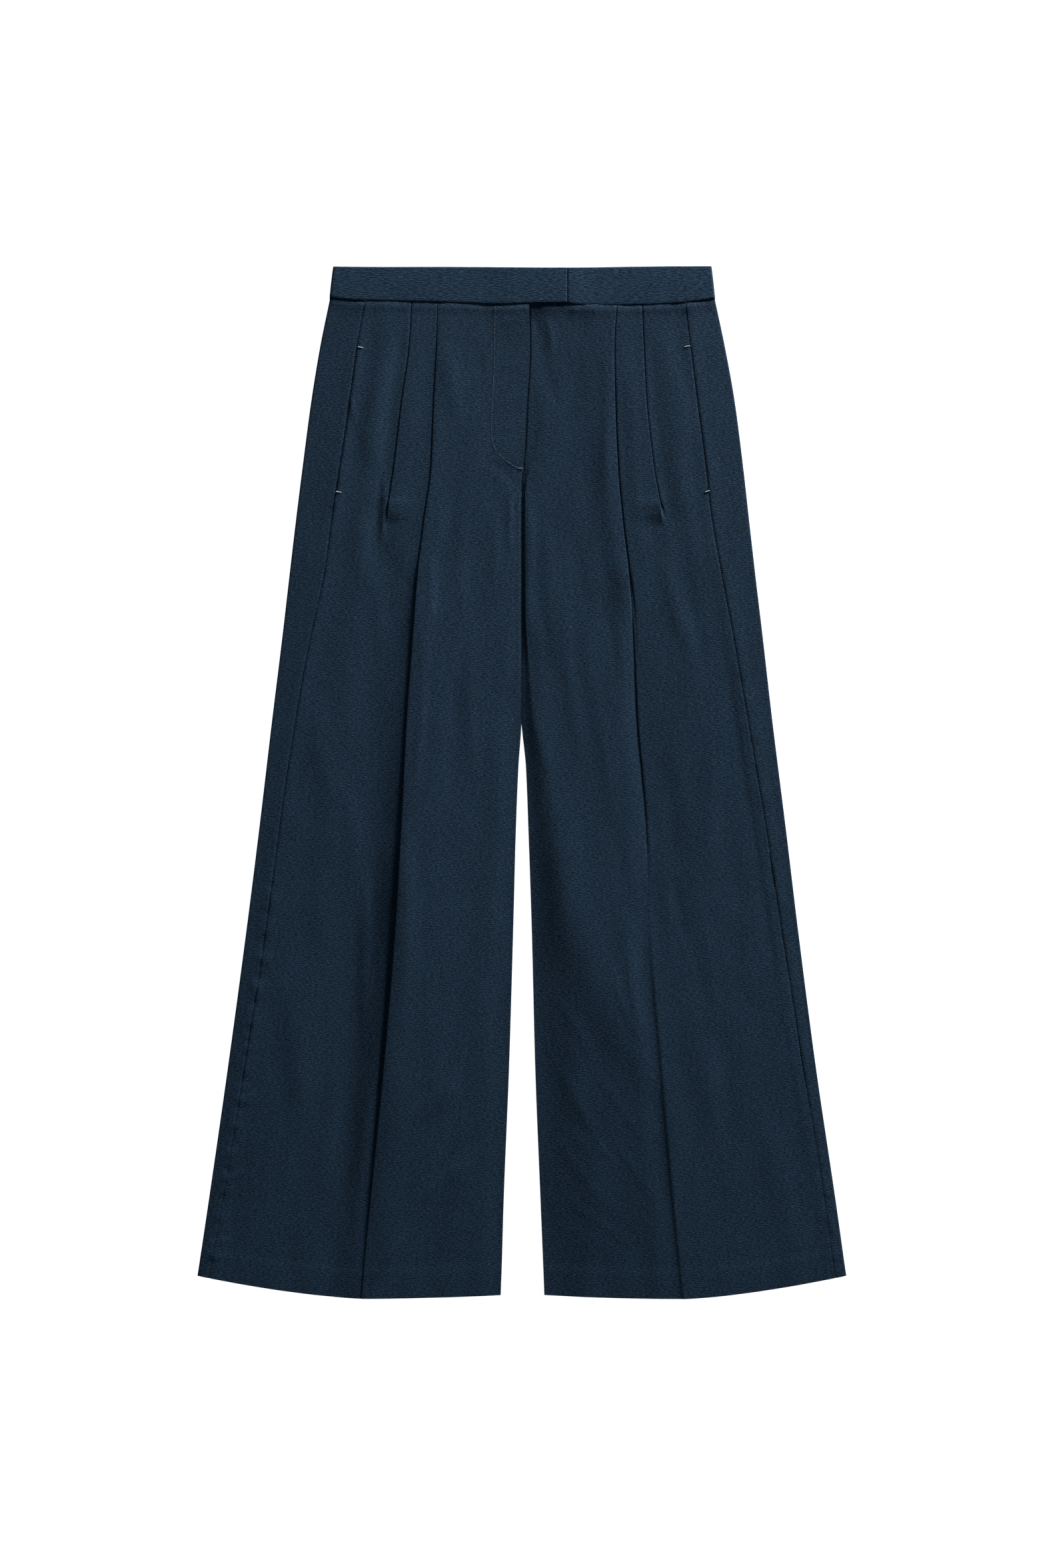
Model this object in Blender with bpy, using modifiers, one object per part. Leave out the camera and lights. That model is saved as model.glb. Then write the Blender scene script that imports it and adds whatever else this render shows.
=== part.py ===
"""Wide-leg, high-waisted trousers with two outward pleats on each front, laid flat on their back.

Metres, +Z up. The waist points to +Y, the wearer's right is at -X, and z = 0 is the surface below.
Each panel of cloth is a sheet through cross sections, which Solidify gives its thickness. Sizes
below are in millimetres. "down" is the distance below the top edge of the waistband, and widths
are distances from the centre line, on the panel's own side.
"""
import math

import bmesh
import bpy

MM = 0.001

# Overall sizes
LENGTH = 1053.3            # top of the waistband to the hem at the crease
SIDES = {"right": -1, "left": 1}
OTHER = {"right": "left", "left": "right"}

# Cloth
CLOTH = 1.0                # one layer of the legs' cloth
HEM_CLOTH = 1.8            # the doubled cloth of the turned-up hem
BAND = 1.6                 # the doubled cloth of the waistband
SEAM_GAP = 0.3             # between two pieces
FOLD_GAP = 0.2             # between two layers of one folded piece
HEM_LINE = 1022.5          # top of the turned-up hem

# Waist seam and hem, as they lie
WAIST_SEAM = 32.3          # at the side fold
WAIST_SAG = 7.0            # the seam's drop from there to the centre
WAIST_SAG_POWER = {"right": 1.1, "left": 3.0}
WAIST_SAG_REACH = 90.0     # how far down the rows follow the seam
WAIST_HALF = 196.0
HEM_RISE_SIDE = 23.0       # the hem's rise from the crease to the side fold
HEM_RISE_INNER = 3.4
HEM_RISE_POWER = 1.5
HEM_REACH_TOP = 580.0      # where the rows start to follow the hem
HEM_CREASE = 163.0
HEM_EDGE = 330.5
HEM_INNER = 21.5

# Waistband
BAND_TOP_SIDE = 0.0
BAND_TOP_SAG = 1.3
BAND_TOP_HALF = 192.4
BAND_FRONT_LEVEL = 3.4     # height of the front half's middle surface
TAB_LEVEL = 6.2            # the same where the tab lies on the underlap and the hook
TAB_END = 46.2             # past the centre line
UNDERLAP_END = 25.8        # past the centre line, the other way
TAB_STEP = (29.0, 44.0)    # where the band climbs onto the underlap's end

# Where each panel's lines lie: side fold, side seam, outer pleat, inner pleat and crease
WIDTH_NAMES = "down edge seam pleat crease"
WIDTHS = {
    "right": (
        (34.7, 195.8, 159.8, 112.2, 85.7),
        (82.3, 205.4, 168.0, 114.9, 87.0),
        (136.7, 214.2, 175.4, 122.4, 89.8),
        (204.7, 223.0, 185.6, 130.6, 92.5),
        (259.1, 229.8, 193.8, 138.5, 98.6),
        (316.9, 236.6, 202.0, 146.0, 105.1),
        (374.7, 243.4, 214.9, 153.0, 109.5),
        (461.0, 254.0, 230.5, 163.0, 117.0),
        (578.7, 267.9, 248.2, 176.0, 123.8),
        (680.7, 280.8, 261.8, 187.0, 130.2),
        (816.7, 299.2, 282.9, 204.0, 139.4),
        (952.7, 318.9, 305.3, 224.0, 154.4),
        (1024.1, 329.8, 317.6, 234.0, 161.2),
        (1053.3, 334.3, 322.6, 238.0, 163.5),
    ),
    "left": (
        (34.7, 195.8, 167.3, 122.4, 97.2),
        (82.3, 206.0, 172.7, 124.4, 94.5),
        (136.7, 216.2, 179.5, 127.2, 95.2),
        (204.7, 225.1, 188.4, 134.6, 97.9),
        (259.1, 231.2, 194.5, 144.2, 102.7),
        (316.9, 237.9, 204.7, 150.0, 109.5),
        (374.7, 244.8, 215.6, 156.0, 113.6),
        (461.0, 254.8, 230.5, 164.0, 117.0),
        (578.7, 269.3, 250.2, 177.0, 127.2),
        (680.7, 281.5, 265.9, 189.0, 132.9),
        (816.7, 299.2, 287.0, 205.0, 139.1),
        (952.7, 319.6, 309.4, 225.0, 153.0),
        (1024.1, 329.8, 319.0, 235.0, 161.5),
        (1053.3, 334.3, 324.0, 239.0, 164.5),
    ),
}

# Heights of the cloth's middle surface: at the side fold's top, the side seam, below the two
# folds, and on the plain cloth between the crease and the centre
LEVEL_NAMES = "down roll seam pleat crease plain"
LEVELS = (
    (32.0, 2.5, 2.3, 1.8, 1.8, 2.4),
    (60.0, 2.8, 3.1, 3.1, 3.1, 3.1),
    (290.0, 2.6, 3.1, 3.1, 3.1, 3.3),
    (330.0, 2.5, 2.9, 3.0, 2.3, 3.6),
    (375.0, 2.3, 2.7, 3.0, 2.8, 3.9),
    (461.0, 2.2, 2.6, 3.0, 2.7, 3.8),
    (680.0, 2.1, 2.4, 2.8, 2.5, 3.7),
    (953.0, 2.1, 2.4, 2.7, 2.6, 3.5),
    (985.0, 2.1, 2.4, 2.7, 2.6, 3.4),
    (1021.0, 2.7, 2.9, 3.0, 3.0, 3.5),
    (1024.0, 3.0, 3.1, 3.2, 3.2, 3.7),
    (1054.0, 3.0, 3.1, 3.2, 3.2, 3.6),
)

# The folds: the depth tucked below, the angle the cloth turns through at each bend, in degrees
# (180 lies flat on itself, under 90 is a step), and the length of each bend
FOLD_NAMES = "down depth turn bend"
PLEATS = (
    (32.0, 12.0, 180.0, 1.885),
    (235.0, 1.5, 180.0, 1.885),
    (248.0, 0.3, 80.0, 1.8),
    (264.0, 0.6, 0.0, 2.0),
    (1054.0, 0.6, 0.0, 2.0),
)
CREASES = {
    "right": (
        (32.0, 13.0, 180.0, 1.885),
        (259.0, 5.0, 180.0, 1.885),
        (290.0, 1.6, 180.0, 1.885),
        (317.0, 0.4, 140.0, 1.885),
        (375.0, 0.5, 75.0, 1.9),
        (461.0, 0.8, 55.0, 2.0),
        (579.0, 1.5, 42.0, 2.4),
        (680.0, 2.0, 40.0, 2.6),
        (817.0, 1.5, 34.0, 2.6),
        (953.0, 1.0, 24.0, 2.6),
        (1054.0, 0.8, 16.0, 2.6),
    ),
    "left": (
        (32.0, 13.0, 180.0, 1.885),
        (259.0, 5.0, 180.0, 1.885),
        (290.0, 1.6, 180.0, 1.885),
        (317.0, 0.4, 140.0, 1.885),
        (375.0, 0.5, 75.0, 1.9),
        (461.0, 0.8, 55.0, 2.0),
        (579.0, 1.2, 40.0, 2.4),
        (660.0, 1.2, 12.0, 2.6),
        (749.0, 2.0, -26.0, 2.6),
        (953.0, 2.0, -24.0, 2.6),
        (1054.0, 0.8, -14.0, 2.6),
    ),
}

# The inner edge: its distance from the centre line, its height, the angle that its lip is turned
# down through, the width that stays at that height, and the width of the slope beyond
INNER_NAMES = "down inner level lip flat slope"
INNERS = {
    "right": (
        (32.0, -7.5, 3.1, 0.0, 36.0, 10.0),
        (82.3, -8.2, 3.1, 0.0, 36.0, 10.0),
        (136.7, -5.4, 3.1, 0.0, 34.0, 10.0),
        (198.0, -1.9, 3.1, 0.0, 30.0, 10.0),
        (206.0, -1.4, 3.1, 0.0, 20.0, 10.0),
        (220.0, -0.6, 2.7, 0.0, 6.0, 8.0),
        (235.0, 0.15, 2.3, 90.0, 0.5, 8.0),
        (461.0, 0.15, 2.3, 90.0, 0.5, 12.0),
        (510.7, 3.4, 2.3, 90.0, 0.5, 20.0),
        (578.7, 6.1, 2.3, 90.0, 0.5, 30.0),
        (680.7, 8.8, 2.3, 90.0, 0.5, 40.0),
        (816.7, 12.9, 2.3, 90.0, 0.5, 40.0),
        (952.7, 18.4, 2.3, 90.0, 0.5, 30.0),
        (1021.0, 20.4, 2.9, 90.0, 0.5, 30.0),
        (1024.0, 20.5, 3.4, 90.0, 0.5, 30.0),
        (1054.0, 21.6, 3.4, 90.0, 0.5, 30.0),
    ),
    "left": (
        (32.0, -6.0, 1.8, 0.0, 16.0, 20.0),
        (198.0, -6.0, 1.8, 0.0, 12.0, 20.0),
        (206.0, 1.7, 1.8, 0.0, 4.0, 20.0),
        (220.0, 0.95, 2.0, 0.0, 2.0, 14.0),
        (235.0, 0.15, 2.3, 90.0, 0.5, 8.0),
        (461.0, 0.15, 2.3, 90.0, 0.5, 12.0),
        (510.7, 4.1, 2.3, 90.0, 0.5, 20.0),
        (578.7, 6.8, 2.3, 90.0, 0.5, 30.0),
        (680.7, 10.2, 2.3, 90.0, 0.5, 40.0),
        (816.7, 13.6, 2.3, 90.0, 0.5, 40.0),
        (952.7, 19.0, 2.3, 90.0, 0.5, 30.0),
        (1021.0, 21.8, 2.9, 90.0, 0.5, 30.0),
        (1024.0, 21.9, 3.4, 90.0, 0.5, 30.0),
        (1054.0, 23.1, 3.4, 90.0, 0.5, 30.0),
    ),
}
CROTCH_OPENS = 461.0       # the legs touch down to here

# The downs of the cross sections
SECTIONS = (
    WAIST_SEAM + SEAM_GAP, 60.0, 90.0, 120.0, 160.0, 198.0, 206.0, 220.0, 235.0, 248.0, 264.0, 290.0,
    317.0, 345.0, 375.0, 415.0, 461.0, 510.7, 578.7, 630.0, 680.7, 749.0, 816.7, 885.0, 952.7, 985.0,
    1021.0, 1024.0, LENGTH,
)

# Bends and runs
BEND_STEPS = 4             # facets in each bend of a fold
LIP_STEPS = 2
ROLL_STEPS = 6             # facets round a side fold
CLEAR = 0.5                # a layer stays level this far past the one below it
SHORT_RUN = 1.5            # the shortest stretch between two folds or slopes
PLEAT_SLOPE = 26.0         # width of the slope from the crease toward the centre, by the pleats
LEG_SLOPE = 56.0           # the same down the leg
WIDENING = (250.0, 400.0)  # where the one widens into the other

# Hidden pieces
POCKET_SIDE = (60.0, 110.0, 160.0, 210.0, 245.0)    # downs of the bag's edge along the seam
POCKET_BOTTOM = 284.0
POCKET_INNER = 76.0
POCKET_CURVE = 8           # facets of the bag's round bottom
ZIP_WIDTH = 19.7
ZIP_TOP = 44.0
ZIP_BOTTOM = 196.0
ZIP_EDGE = -6.3
HOOK_CENTRE = (34.0, 20.0)
HOOK_PLATE = (12.0, 9.0)
BAR_CENTRE = (22.0, 20.0)
BAR_PLATE = (5.0, 12.0)
PLATE_CORNER = 2.0
METAL = 0.6

NAVY = (0.0185, 0.0335, 0.0540)
NAVY_BAND = (0.0200, 0.0360, 0.0570)
POCKETING = (0.0160, 0.0230, 0.0370)
STEEL = (0.42, 0.42, 0.44)


def value(table, names, name, down):
    """Reads one column of a table at a distance down, between its rows."""
    column = names.split().index(name)
    if down <= table[0][0]:
        return table[0][column]
    for upper, lower in zip(table, table[1:]):
        if down <= lower[0]:
            share = (down - upper[0]) / (lower[0] - upper[0])
            return upper[column] + share * (lower[column] - upper[column])
    return table[-1][column]


def width(side, name, down):
    return value(WIDTHS[side], WIDTH_NAMES, name, down)


def level(name, down):
    return value(LEVELS, LEVEL_NAMES, name, down)


def inner(side, name, down):
    return value(INNERS[side], INNER_NAMES, name, down)


def thickness(down):
    return HEM_CLOTH if down > HEM_LINE else CLOTH


def back_level(down):
    """The middle surface of the back, whose underside is at z = 0."""
    return thickness(down) / 2


def smooth(share):
    share = min(1.0, max(0.0, share))
    return share * share * (3.0 - 2.0 * share)


def real_down(side, down, across):
    """A row's true distance down at a width, as it bends with the waist seam or the hem."""
    sag_share = max(0.0, 1.0 - (down - WAIST_SEAM) / WAIST_SAG_REACH)
    waist = min(1.0, abs(across) / WAIST_HALF)
    power = WAIST_SAG_POWER[side if across >= 0.0 else OTHER[side]]
    sag = WAIST_SAG * (1.0 - waist ** power) * sag_share
    hem_share = max(0.0, (down - HEM_REACH_TOP) / (LENGTH - HEM_REACH_TOP))
    if across > HEM_CREASE:
        outward = (across - HEM_CREASE) / (HEM_EDGE - HEM_CREASE)
        rise = HEM_RISE_SIDE * outward ** HEM_RISE_POWER
    else:
        rise = HEM_RISE_INNER * ((HEM_CREASE - across) / (HEM_CREASE - HEM_INNER)) ** 2
    return down + sag - rise * hem_share


def line(side, name, down):
    """Where a panel's line crosses a row, at the row's true distance down there."""
    nominal = width(side, name, down)
    return width(side, name, real_down(side, down, nominal))


def bend(turn, length, steps):
    """The points and final heading of a bend, from the origin and along +x, turning upward."""
    step_turn = math.radians(turn) / steps
    half = step_turn / 2
    chord = length / steps * (math.sin(half) / half if abs(half) > 1e-6 else 1.0)
    x, z, heading = 0.0, 0.0, 0.0
    points = []
    for _ in range(steps):
        x += chord * math.cos(heading + half)
        z += chord * math.sin(heading + half)
        heading += step_turn
        points.append((x, z))
    return points, heading


def fold(table, down):
    """A pleat or step seen along the leg, from the top layer outward and down to the next layer."""
    depth = value(table, FOLD_NAMES, "depth", down)
    turn = value(table, FOLD_NAMES, "turn", down)
    length = value(table, FOLD_NAMES, "bend", down)
    upper, heading = bend(-turn, length, BEND_STEPS)
    points = [(0.0, 0.0)] + upper
    x = points[-1][0] + depth * math.cos(heading)
    z = points[-1][1] + depth * math.sin(heading)
    points.append((x, z))
    for dx, dz in bend(turn, length, BEND_STEPS)[0]:
        points.append((x + dx * math.cos(heading) - dz * math.sin(heading),
                       z + dx * math.sin(heading) + dz * math.cos(heading)))
    return points


def run(stops):
    """Points along a stretch of cloth, eased in height between stops of (x, z, points)."""
    points = []
    for (x0, z0, _), (x1, z1, count) in zip(stops, stops[1:]):
        for step in range(1, count + 1):
            share = step / count
            points.append((x0 + share * (x1 - x0), z0 + smooth(share) * (z1 - z0)))
    return points


def placed(points, x, z):
    return [(x + dx, z + dz) for dx, dz in points]


def outermost(points):
    return max(x for x, _ in points)


def innermost(points):
    return min(x for x, _ in points)


def inner_edge(side, down):
    """The front's inner edge, from the fly's overlap to the inner side of the leg."""
    nominal = inner(side, "inner", down)
    if down <= CROTCH_OPENS:
        return nominal
    return inner(side, "inner", real_down(side, down, nominal))


def front_section(side, down):
    """A front from its inner edge to the side seam, over the inner and the outer pleat."""
    half = thickness(down) / 2
    crease_fold = fold(CREASES[side], down)
    pleat_fold = fold(PLEATS, down)
    crease_drop = -crease_fold[-1][1]
    pleat_drop = -pleat_fold[-1][1]
    crease_base = level("crease", down)
    pleat_base = level("pleat", down)
    # each fold's outer edge lies on the crease's or the pleat's line
    crease_x = line(side, "crease", down) - half - outermost(crease_fold[:BEND_STEPS + 1])
    pleat_x = line(side, "pleat", down) - half - outermost(pleat_fold[:BEND_STEPS + 1])
    tuck_start = crease_x + innermost(crease_fold)
    pleat_tuck_start = pleat_x + innermost(pleat_fold)

    # the lip, from its lower end to the top
    lip_turn = inner(side, "lip", down)
    lip_level = inner(side, "level", down)
    lip_radius = half + FOLD_GAP / 2
    lip_points, heading = bend(lip_turn, math.pi / 2 * lip_radius, LIP_STEPS)
    lip_end = 2 * back_level(down) + SEAM_GAP
    if lip_turn >= 90.0:
        straight = lip_level - lip_radius - lip_end
    else:
        straight = 2 * FOLD_GAP
    last_x, last_z = lip_points[-1]
    lip_points.append((last_x + straight * math.cos(heading), last_z + straight * math.sin(heading)))
    start = inner_edge(side, down) + outermost(lip_points) + half * math.sin(math.radians(lip_turn))
    section = [(start - x, lip_level - z) for x, z in reversed(lip_points)]

    # the top layer, from the centre to the crease
    flat_end = start + inner(side, "flat", down)
    slope_end = flat_end + inner(side, "slope", down)
    top_level = crease_base + max(0.0, crease_drop)
    level_start = tuck_start - half - CLEAR
    slope_start = max(slope_end + SHORT_RUN, level_start - top_slope(down))
    section += [(start, lip_level)]
    section += run([
        (start, lip_level, 0),
        (flat_end, lip_level, 1),
        (slope_end, level("plain", down), 2),
        (slope_start, level("plain", down), 1),
        (level_start, top_level, 3),
        (crease_x, top_level, 1),
    ])
    section += placed(crease_fold[1:], crease_x, top_level)

    # the layer between the pleats
    x, z = section[-1]
    under_end = max(crease_x + outermost(crease_fold) + half + CLEAR, x + SHORT_RUN)
    over_start = max(pleat_tuck_start - half - CLEAR, under_end + SHORT_RUN)
    section += run([
        (x, z, 0),
        (under_end, z, 1),
        (over_start, pleat_base + pleat_drop, 2),
        (pleat_x, pleat_base + pleat_drop, 1),
    ])
    section += placed(pleat_fold[1:], pleat_x, pleat_base + pleat_drop)

    # the layer outside the outer pleat
    x, z = section[-1]
    seam_x = line(side, "seam", down) - SEAM_GAP / 2
    section += run([
        (x, z, 0),
        (max(line(side, "pleat", down) + half + CLEAR, x + SHORT_RUN), pleat_base, 1),
        (seam_x, level("seam", down), 2),
    ])
    return section


def top_slope(down):
    """The slope beside the crease is narrow by the pleats and widens down the leg."""
    share = smooth((down - WIDENING[0]) / (WIDENING[1] - WIDENING[0]))
    return PLEAT_SLOPE + share * (LEG_SLOPE - PLEAT_SLOPE)


def back_section(side, down):
    """A back from its inner edge, round the side fold, to the side seam on the front."""
    half = thickness(down) / 2
    base = back_level(down)
    roll = level("roll", down)
    radius = (roll - base) / 2
    inner_x = inner_edge(side, down) if down > CROTCH_OPENS else SEAM_GAP / 2
    edge_x = line(side, "edge", down) - half - radius
    seam_x = line(side, "seam", down) + SEAM_GAP / 2
    section = [(inner_x, base)]
    section += run([(inner_x, base, 0), (edge_x, base, 4)])
    section += placed(bend(180.0, math.pi * radius, ROLL_STEPS)[0], edge_x, base)
    section += run([(edge_x, roll, 0), (seam_x, level("seam", down), 2)])
    return section


def world(side, down, section):
    """A section's points in metres, each on the row's curve."""
    return [(SIDES[side] * x * MM, (LENGTH / 2 - real_down(side, down, x)) * MM, z * MM)
            for x, z in section]


def material(name, colour, roughness, metallic=0.0):
    finish = bpy.data.materials.new(name)
    finish.use_nodes = True
    shader = finish.node_tree.nodes["Principled BSDF"]
    shader.inputs["Base Color"].default_value = (*colour, 1.0)
    shader.inputs["Roughness"].default_value = roughness
    shader.inputs["Metallic"].default_value = metallic
    return finish


def add_model(name, data, collection, finish):
    model = bpy.data.objects.new(name, data)
    collection.objects.link(model)
    data.materials.append(finish)
    return model


def sheet_object(name, rows, cloth_thickness, collection, finish, thick_rows=()):
    """A cloth piece: a grid laid through the rows of points, thickened to both sides."""
    last_row = len(rows) - 1
    last_column = len(rows[0]) - 1
    sheet = bmesh.new()
    bmesh.ops.create_grid(sheet, x_segments=last_column, y_segments=last_row, size=1.0)
    thick = []
    for index, corner in enumerate(sheet.verts):
        row = round((corner.co.y + 1.0) / 2.0 * last_row)
        column = round((corner.co.x + 1.0) / 2.0 * last_column)
        corner.co = rows[row][column]
        if row in thick_rows:
            thick.append(index)
    mesh = bpy.data.meshes.new(name)
    sheet.to_mesh(mesh)
    sheet.free()
    model = add_model(name, mesh, collection, finish)
    wall = model.modifiers.new("cloth", "SOLIDIFY")
    wall.thickness = cloth_thickness * MM
    wall.offset = 0.0
    wall.use_even_offset = True
    if thick:
        group = model.vertex_groups.new(name="hem")
        group.add(thick, 1.0, "REPLACE")
        wall.thickness = HEM_CLOTH * MM
        wall.vertex_group = group.name
        wall.thickness_vertex_group = cloth_thickness / HEM_CLOTH


def leg_panels(collection, finish):
    hem_rows = [row for row, down in enumerate(SECTIONS) if down > HEM_LINE]
    for side in SIDES:
        for name, section in (("front", front_section), ("back", back_section)):
            rows = [world(side, down, section(side, down)) for down in SECTIONS]
            sheet_object(f"{name}_{side}", rows, CLOTH, collection, finish, hem_rows)


def band_section(side, half_width):
    """Half of the waistband, from the centre back, round the side fold, to its front end."""
    base = BAND / 2
    radius = (BAND_FRONT_LEVEL - base) / 2
    edge_x = half_width - BAND / 2 - radius
    section = [(SEAM_GAP / 2, base)]
    section += run([(SEAM_GAP / 2, base, 0), (edge_x, base, 8)])
    section += placed(bend(180.0, math.pi * radius, ROLL_STEPS)[0], edge_x, base)
    if side == "right":
        low, high = TAB_STEP[1], TAB_STEP[0]
        section += run([
            (edge_x, BAND_FRONT_LEVEL, 0),
            (low, BAND_FRONT_LEVEL, 7),
            (high, TAB_LEVEL, 4),
            (-TAB_END, TAB_LEVEL, 3),
        ])
    else:
        section += run([(edge_x, BAND_FRONT_LEVEL, 0), (-UNDERLAP_END, BAND_FRONT_LEVEL, 10)])
    return section


def waistbands(collection, finish):
    for side in SIDES:
        top = band_section(side, BAND_TOP_HALF)
        bottom = band_section(side, WAIST_HALF)
        rows = []
        for share in (0.0, 0.5, 1.0):
            row = []
            for (top_x, z), (bottom_x, _) in zip(top, bottom):
                x = top_x + share * (bottom_x - top_x)
                across = min(1.0, abs(x) / WAIST_HALF)
                high = BAND_TOP_SIDE + BAND_TOP_SAG * (1.0 - across ** 2)
                low = real_down(side, WAIST_SEAM, x)
                down = high + share * (low - high)
                row.append((SIDES[side] * x * MM, (LENGTH / 2 - down) * MM, z * MM))
            rows.append(row)
        sheet_object(f"waistband_{side}", rows, BAND, collection, finish)


def flat_piece(name, outline, low, high, collection, finish):
    """A flat piece between two heights, from the (x, down) points of its outline."""
    curve = bpy.data.curves.new(name, "CURVE")
    curve.dimensions = "2D"
    curve.fill_mode = "BOTH"
    curve.extrude = (high - low) / 2 * MM
    spline = curve.splines.new("POLY")
    spline.points.add(len(outline) - 1)
    for point, (x, down) in zip(spline.points, outline):
        point.co = (x * MM, (LENGTH / 2 - down) * MM, 0.0, 1.0)
    spline.use_cyclic_u = True
    model = add_model(name, curve, collection, finish)
    model.location.z = (low + high) / 2 * MM
    weld = model.modifiers.new("closed", "WELD")
    weld.merge_threshold = 0.00001


def rounded(centre, size, steps=3):
    """The outline of a plate with round corners."""
    corner = PLATE_CORNER
    points = []
    for quarter, (sx, sy) in enumerate(((1, 1), (-1, 1), (-1, -1), (1, -1))):
        for step in range(steps + 1):
            angle = math.pi / 2 * (quarter + step / steps)
            points.append((centre[0] + sx * (size[0] / 2 - corner) + corner * math.cos(angle),
                           centre[1] + sy * (size[1] / 2 - corner) + corner * math.sin(angle)))
    return points


def pocket_bags(collection, finish):
    """Each bag lies between a front and a back, from the mouth in the side seam."""
    low = CLOTH + SEAM_GAP
    high = low + CLOTH
    for side, sign in SIDES.items():
        outline = [(sign * line(side, "seam", down), down) for down in POCKET_SIDE]
        top, round_top = POCKET_SIDE[0], POCKET_SIDE[-1]
        seam_x = line(side, "seam", round_top)
        centre_x = (seam_x + POCKET_INNER) / 2
        reach = (seam_x - POCKET_INNER) / 2
        for step in range(1, POCKET_CURVE):
            angle = math.pi * step / POCKET_CURVE
            outline.append((sign * (centre_x + reach * math.cos(angle)),
                            round_top + (POCKET_BOTTOM - round_top) * math.sin(angle)))
        outline += [(sign * POCKET_INNER, round_top), (sign * POCKET_INNER, top)]
        flat_piece(f"pocket_bag_{side}", outline, low, high, collection, finish)


def fastenings(collection, tape, steel):
    low = CLOTH + SEAM_GAP
    corners = [(ZIP_EDGE, ZIP_TOP), (ZIP_EDGE, ZIP_BOTTOM),
               (ZIP_EDGE - ZIP_WIDTH, ZIP_BOTTOM), (ZIP_EDGE - ZIP_WIDTH, ZIP_TOP)]
    flat_piece("fly_zip", corners, low, low + CLOTH, collection, tape)
    metal_low = BAND_FRONT_LEVEL + BAND / 2 + SEAM_GAP
    flat_piece("waist_hook", rounded(HOOK_CENTRE, HOOK_PLATE), metal_low, metal_low + METAL,
               collection, steel)
    flat_piece("waist_bar", rounded(BAR_CENTRE, BAR_PLATE), metal_low, metal_low + METAL,
               collection, steel)


def main():
    for old in list(bpy.data.objects):
        bpy.data.objects.remove(old)
    collection = bpy.data.collections.new("pleated_trousers")
    bpy.context.scene.collection.children.link(collection)
    linen = material("navy_linen", NAVY, 0.85)
    band_linen = material("navy_linen_band", NAVY_BAND, 0.85)
    lining = material("pocketing", POCKETING, 0.8)
    steel = material("dark_steel", STEEL, 0.35, 1.0)
    leg_panels(collection, linen)
    waistbands(collection, band_linen)
    pocket_bags(collection, lining)
    fastenings(collection, lining, steel)


main()
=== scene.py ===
import math

import bmesh
import bpy
import numpy as np
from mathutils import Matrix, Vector


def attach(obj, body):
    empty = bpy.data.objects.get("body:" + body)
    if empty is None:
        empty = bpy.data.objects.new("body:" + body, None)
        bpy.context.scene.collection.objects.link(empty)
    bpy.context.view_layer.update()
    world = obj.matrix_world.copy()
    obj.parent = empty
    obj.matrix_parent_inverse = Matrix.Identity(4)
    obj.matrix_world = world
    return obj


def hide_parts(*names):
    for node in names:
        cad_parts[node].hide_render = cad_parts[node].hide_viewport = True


# Navy linen trousers, laid flat on their back and seen from straight above. Sizes are in
# millimetres, as far down from the waistband's top and as far out from the centre line as they lie.

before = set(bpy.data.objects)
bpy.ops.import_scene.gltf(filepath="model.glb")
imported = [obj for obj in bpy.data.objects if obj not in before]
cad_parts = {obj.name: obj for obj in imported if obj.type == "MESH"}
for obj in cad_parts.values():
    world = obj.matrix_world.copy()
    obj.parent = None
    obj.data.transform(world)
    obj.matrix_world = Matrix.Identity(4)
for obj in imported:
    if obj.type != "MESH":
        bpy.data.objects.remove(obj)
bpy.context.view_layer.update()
mm = 0.001

# ---- sizes of the whole garment ----
garment = {
    "length": 1053.3,           # top of the waistband to the hem at the crease
    "cloth": 0.42,              # one layer of linen
    "hemCloth": 0.84,           # the doubled cloth of the turned-up hem
    "foldGap": 0.10,            # air between two layers of a pleat
    "seamSlit": 0.42,           # between two panels where they are sewn
    "backAside": -0.6,          # how far the backs' slit lies to the wearer's left
    "backTopSlit": 0.03,        # half the backs' slit above the crotch
    "lipGap": 0.2,              # air between a front's turned-down lip and the back
    "waistSeam": 32.3,          # the waist seam at the side fold
    "frontTuck": 2.2,           # how far the fronts reach under the waistband
    "backStart": 0.1,           # the backs' top edge below the waist seam
    "sagReach": 90.0,           # how far down the rows follow the seam
    "hemLine": 1022.5,          # top of the turned-up hem
    "hemRiseSide": 23.0,        # the hem's rise from the crease to the side fold
    "hemRiseInner": 3.4,
    "hemRisePower": 1.5,
    "hemReachTop": 580.0,       # the rows follow the hem from here down
    "hemCrease": 163.0,         # the crease, the side fold and the inner edge at the hem
    "hemEdge": 330.5,
    "hemInner": 21.5,
    "crotchOpens": 461.0,       # the legs touch down to here
    "lowestFront": 0.95,        # where a front would touch the back below it
    "grainLean": 0.077,         # the weft's lean, outward and down
    "rumpleStrength": 1.8,      # all soft creases of the front together
}
sides = {"Right": -1, "Left": 1}

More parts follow.
